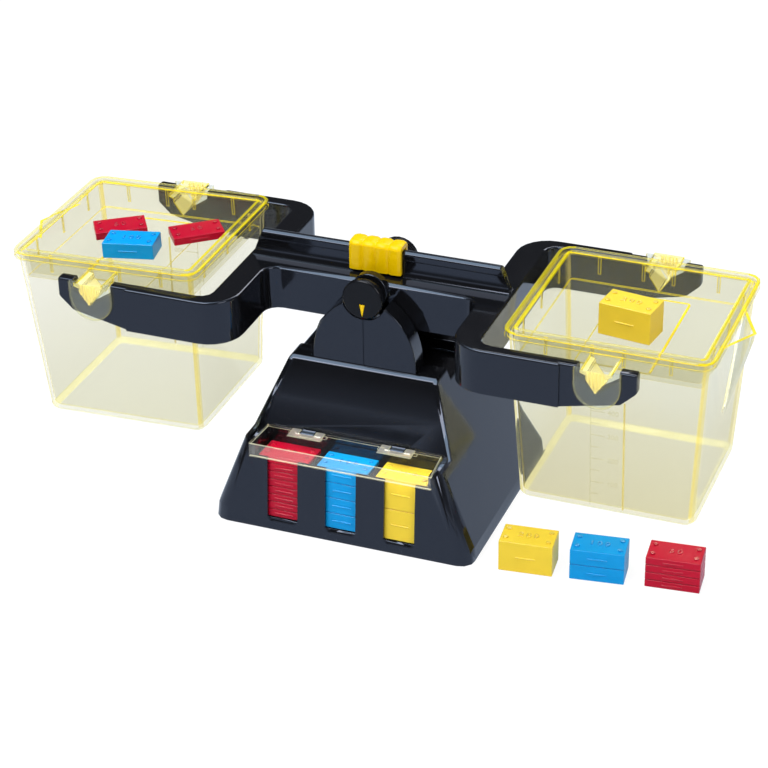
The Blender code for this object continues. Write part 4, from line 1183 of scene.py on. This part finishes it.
@dataclass
class MassSet:
    """All the masses: in the store, on the table and on the lids."""

    pitch: float = 36.5 * MM
    lean: float = math.atan(0.075)
    store_foot: Pair = (-69.9 * MM, 7.0 * MM)
    bay_middle: Pair = (10.05 * MM, 0.3 * MM)
    tray_floor: float = 133.1 * MM

    def stood(self, x: float, y: float, z: float, degrees: float) -> Matrix:
        """Give the place of a mass that stands at a point.

        Args:
            x: The point across.
            y: The point in depth.
            z: The height that it stands on.
            degrees: Its turn about the vertical.

        Returns:
            The placing matrix.
        """
        return Matrix.Translation((x, y, z)) @ Matrix.Rotation(math.radians(degrees), 4, "Z")

    def in_store(self, column: int) -> Matrix:
        """Give the place of a stack in the store, which leans with the front panel.

        Args:
            column: The bay, from -1 at the left to 1 at the right.

        Returns:
            The placing matrix.
        """
        foot = Matrix.Translation((0.0, *self.store_foot)) @ Matrix.Rotation(-self.lean, 4, "X")
        return foot @ Matrix.Translation((column * self.pitch, *self.bay_middle))

    def spots(self) -> list[MassSpot]:
        """List every stack with its nodes.

        Returns:
            The stacks.
        """
        lean, tray = leaning_left(), self.tray_floor
        return [
            MassSpot([f"stored_red_mass_{i}" for i in range(1, 9)], "base", 1, self.in_store(-1)),
            MassSpot([f"stored_blue_mass_{i}" for i in range(1, 5)], "base", 2, self.in_store(0)),
            MassSpot([f"stored_yellow_mass_{i}" for i in (1, 2)], "base", 4, self.in_store(1)),
            MassSpot(["loose_yellow_mass"], "loose_yellow_body", 4,
                     self.stood(110.6 * MM, -56.5 * MM, 0.0, 6.0)),
            MassSpot([f"loose_blue_mass_{i}" for i in (1, 2)], "loose_blue_body", 2,
                     self.stood(151.2 * MM, -50.9 * MM, 0.0, 7.5)),
            MassSpot([f"loose_red_mass_{i}" for i in range(1, 5)], "loose_red_body", 1,
                     self.stood(194.0 * MM, -44.3 * MM, 0.0, 5.5)),
            MassSpot(["left_red_mass_a"], "left_red_mass_a_body", 1,
                     lean @ self.stood(-177.1 * MM, 17.5 * MM, tray, 32.0)),
            MassSpot(["left_red_mass_b"], "left_red_mass_b_body", 1,
                     lean @ self.stood(-128.8 * MM, 24.0 * MM, tray, 36.5)),
            MassSpot(["left_blue_mass"], "left_blue_mass_body", 2,
                     lean @ self.stood(-156.9 * MM, -7.3 * MM, tray, 10.4)),
            MassSpot(["right_yellow_mass"], "right_yellow_mass_body", 4,
                     self.stood(151.6 * MM, -5.1 * MM, tray, -8.0)),
        ]

    def build(self) -> None:
        """Build each pattern once, copy it to every spot, and remove it."""
        kinds = {1: Colour.RED, 2: Colour.BLUE, 4: Colour.YELLOW}
        for units, colour in kinds.items():
            pattern = MassPattern(units, colour)
            made = pattern.build()
            for spot in self.spots():
                if spot.units != units:
                    continue
                for level, node in enumerate(spot.nodes):
                    lift = Matrix.Translation((0, 0, level * units * pattern.unit_height))
                    copy = Bench.copied(made, f"{node}_block")
                    copy.data.transform(spot.place @ lift)
                    Bench.fix(copy, spot.body, node)
            bpy.data.objects.remove(made, do_unlink=True)


# Studio


@dataclass
class Studio:
    """The white floor, the light and the camera."""

    azimuth: float = math.radians(21.36)
    elevation: float = math.radians(29.49)
    roll: float = -0.0137
    distance: float = 1.473
    target: Triple = (0.00084, 0.0, 0.0683)
    lens: float = 116.08
    sensor: float = 36.0
    clip: float = 0.05
    floor_size: float = 14.0
    floor_drop: float = 0.2 * MM
    paper: tuple[float, ...] = (0.82, 0.82, 0.82, 1.0)
    white_share: float = 0.86
    white_glow: float = 1.08
    sheen: Triple = (0.6, 0.7, 0.86)
    sheen_fade: tuple[float, float, float, float] = (0.55, 1.3, 1.0, 0.2)
    veil: float = 0.35
    sky_bands: tuple[tuple[float, Triple], ...] = (
        (0.54, (0.25, 0.28, 0.33)), (0.62, (0.05, 0.05, 0.055)), (0.8, (0.05, 0.05, 0.055)),
        (0.88, (0.35, 0.4, 0.48)))
    horizon: Triple = (0.8, 0.88, 1.0)
    zenith: Triple = (0.5, 0.56, 0.66)
    aim: Triple = (0.0, 0.0, 0.08)

    def floor(self) -> None:
        """Lay the white floor, which keeps the object's shadow."""
        bpy.ops.mesh.primitive_plane_add(size=self.floor_size, location=(0.0, 0.0, -self.floor_drop))
        plane = Bench.added("studio_floor")
        material = bpy.data.materials.new("studio_white")
        nodes = Nodes(material)
        reach = nodes.add("VectorMath", nodes.place(), setting={"operation": "LENGTH"})
        fade = nodes.add("MapRange", reach.outputs["Value"], *self.sheen_fade,
                         setting={"interpolation_type": "SMOOTHSTEP"})
        way = nodes.add("LightPath").outputs
        either = nodes.add("Math", way["Is Camera Ray"], way["Is Transmission Ray"],
                           setting={"operation": "MAXIMUM"})
        share = nodes.add("Math", either, self.white_share, setting={"operation": "MULTIPLY"})
        seen = nodes.add("MixShader", share, nodes.add("BsdfDiffuse", self.paper),
                         nodes.add("Emission", WHITE, self.white_glow))
        mirrored = nodes.add("Math", way["Is Glossy Ray"], way["Is Transmission Ray"],
                             setting={"operation": "SUBTRACT", "use_clamp": True})
        sheen = nodes.add("Emission", (*self.sheen, 1.0), fade)
        nodes.add("OutputMaterial", nodes.add("MixShader", mirrored, seen, sheen))
        plane.data.materials.append(material)

    def sky(self) -> None:
        """Set a world that is pale at the horizon and overhead, with a dark band between."""
        world = bpy.data.worlds.new("studio_world")
        bpy.context.scene.world = world
        nodes = Nodes(world)
        height = nodes.add("SeparateXYZ", nodes.add("TexCoord").outputs["Generated"])
        ramp = nodes.add("ValToRGB", nodes.add("MapRange", height.outputs["Z"], -1.0, 1.0))
        stops = ramp.color_ramp.elements
        stops[0].position, stops[0].color = 0.5, (*self.horizon, 1.0)
        stops[1].position, stops[1].color = 1.0, (*self.zenith, 1.0)
        for up, colour in self.sky_bands:
            stops.new(up).color = (*colour, 1.0)
        way = nodes.add("LightPath").outputs
        through = nodes.add("MixShader", way["Is Transmission Ray"], nodes.add("Background", ramp),
                            nodes.add("Background", WHITE, self.veil))
        nodes.add("OutputWorld", nodes.add("MixShader", way["Is Camera Ray"], through,
                                           nodes.add("Background", WHITE)))

    def lamp(self, name: str, place: Triple, size: Pair, watts: float,
             colour: Triple = (1.0, 1.0, 1.0)) -> None:
        """Hang a soft lamp that points at the object.

        Args:
            name: The lamp's name.
            place: Where it hangs.
            size: Its width and height.
            watts: Its power.
            colour: Its colour.
        """
        light = bpy.data.lights.new(name, "AREA")
        light.shape = "RECTANGLE"
        light.size, light.size_y = size
        light.energy = watts
        light.color = colour
        hung = bpy.data.objects.new(name, light)
        hung.location = place
        aim = Vector(self.aim) - Vector(place)
        hung.rotation_euler = aim.to_track_quat("-Z", "Y").to_euler()
        bpy.context.scene.collection.objects.link(hung)

    def camera(self) -> None:
        """Set the camera where the photograph was taken from."""
        back = Vector((math.sin(self.azimuth) * math.cos(self.elevation),
                       -math.cos(self.azimuth) * math.cos(self.elevation),
                       math.sin(self.elevation)))
        data = bpy.data.cameras.new("portrait_camera")
        data.sensor_width = self.sensor
        data.lens = self.lens
        data.clip_start = self.clip
        camera = bpy.data.objects.new("portrait_camera", data)
        camera.location = Vector(self.target) + back * self.distance
        turn = (-back).to_track_quat("-Z", "Y").to_matrix() @ Matrix.Rotation(self.roll, 3, "Z")
        camera.rotation_euler = turn.to_euler()
        bpy.context.scene.collection.objects.link(camera)
        bpy.context.scene.camera = camera

    def build(self) -> None:
        """Set up the studio."""
        self.floor()
        self.sky()
        self.lamp("key_light", (-0.5, -1.1, 1.9), (1.3, 0.9), 27.0)
        self.lamp("top_light", (-0.6, -0.05, 1.85), (1.1, 1.3), 20.0, (0.72, 0.9, 1.0))
        self.lamp("fill_light", (1.6, -0.9, 1.0), (0.9, 0.9), 11.0)
        self.lamp("back_light", (0.2, 1.5, 1.5), (1.6, 0.4), 9.0)
        self.camera()
        bpy.context.scene.view_settings.view_transform = "Standard"


def main() -> None:
    """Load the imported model, dress each sub-assembly and set up the studio."""
    logging.basicConfig(level=logging.INFO, format="%(message)s")
    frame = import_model()
    assemblies = [
        Base(frame), Cover(frame), Beam(frame), Rider(frame),
        Bucket(frame, "left_bucket_body", "left", BUCKET_CLEAR),
        Bucket(frame, "right_bucket_body", "right"),
        Lid(frame, "left_lid_body", "left", lit_bead_sides=(-1,)), Lid(frame, "right_lid_body", "right"),
        MassSet(), Studio(),
    ]
    for assembly in assemblies:
        assembly.build()
        LOG.info("built %s", type(assembly).__name__)


if __name__ == "__main__":
    main()
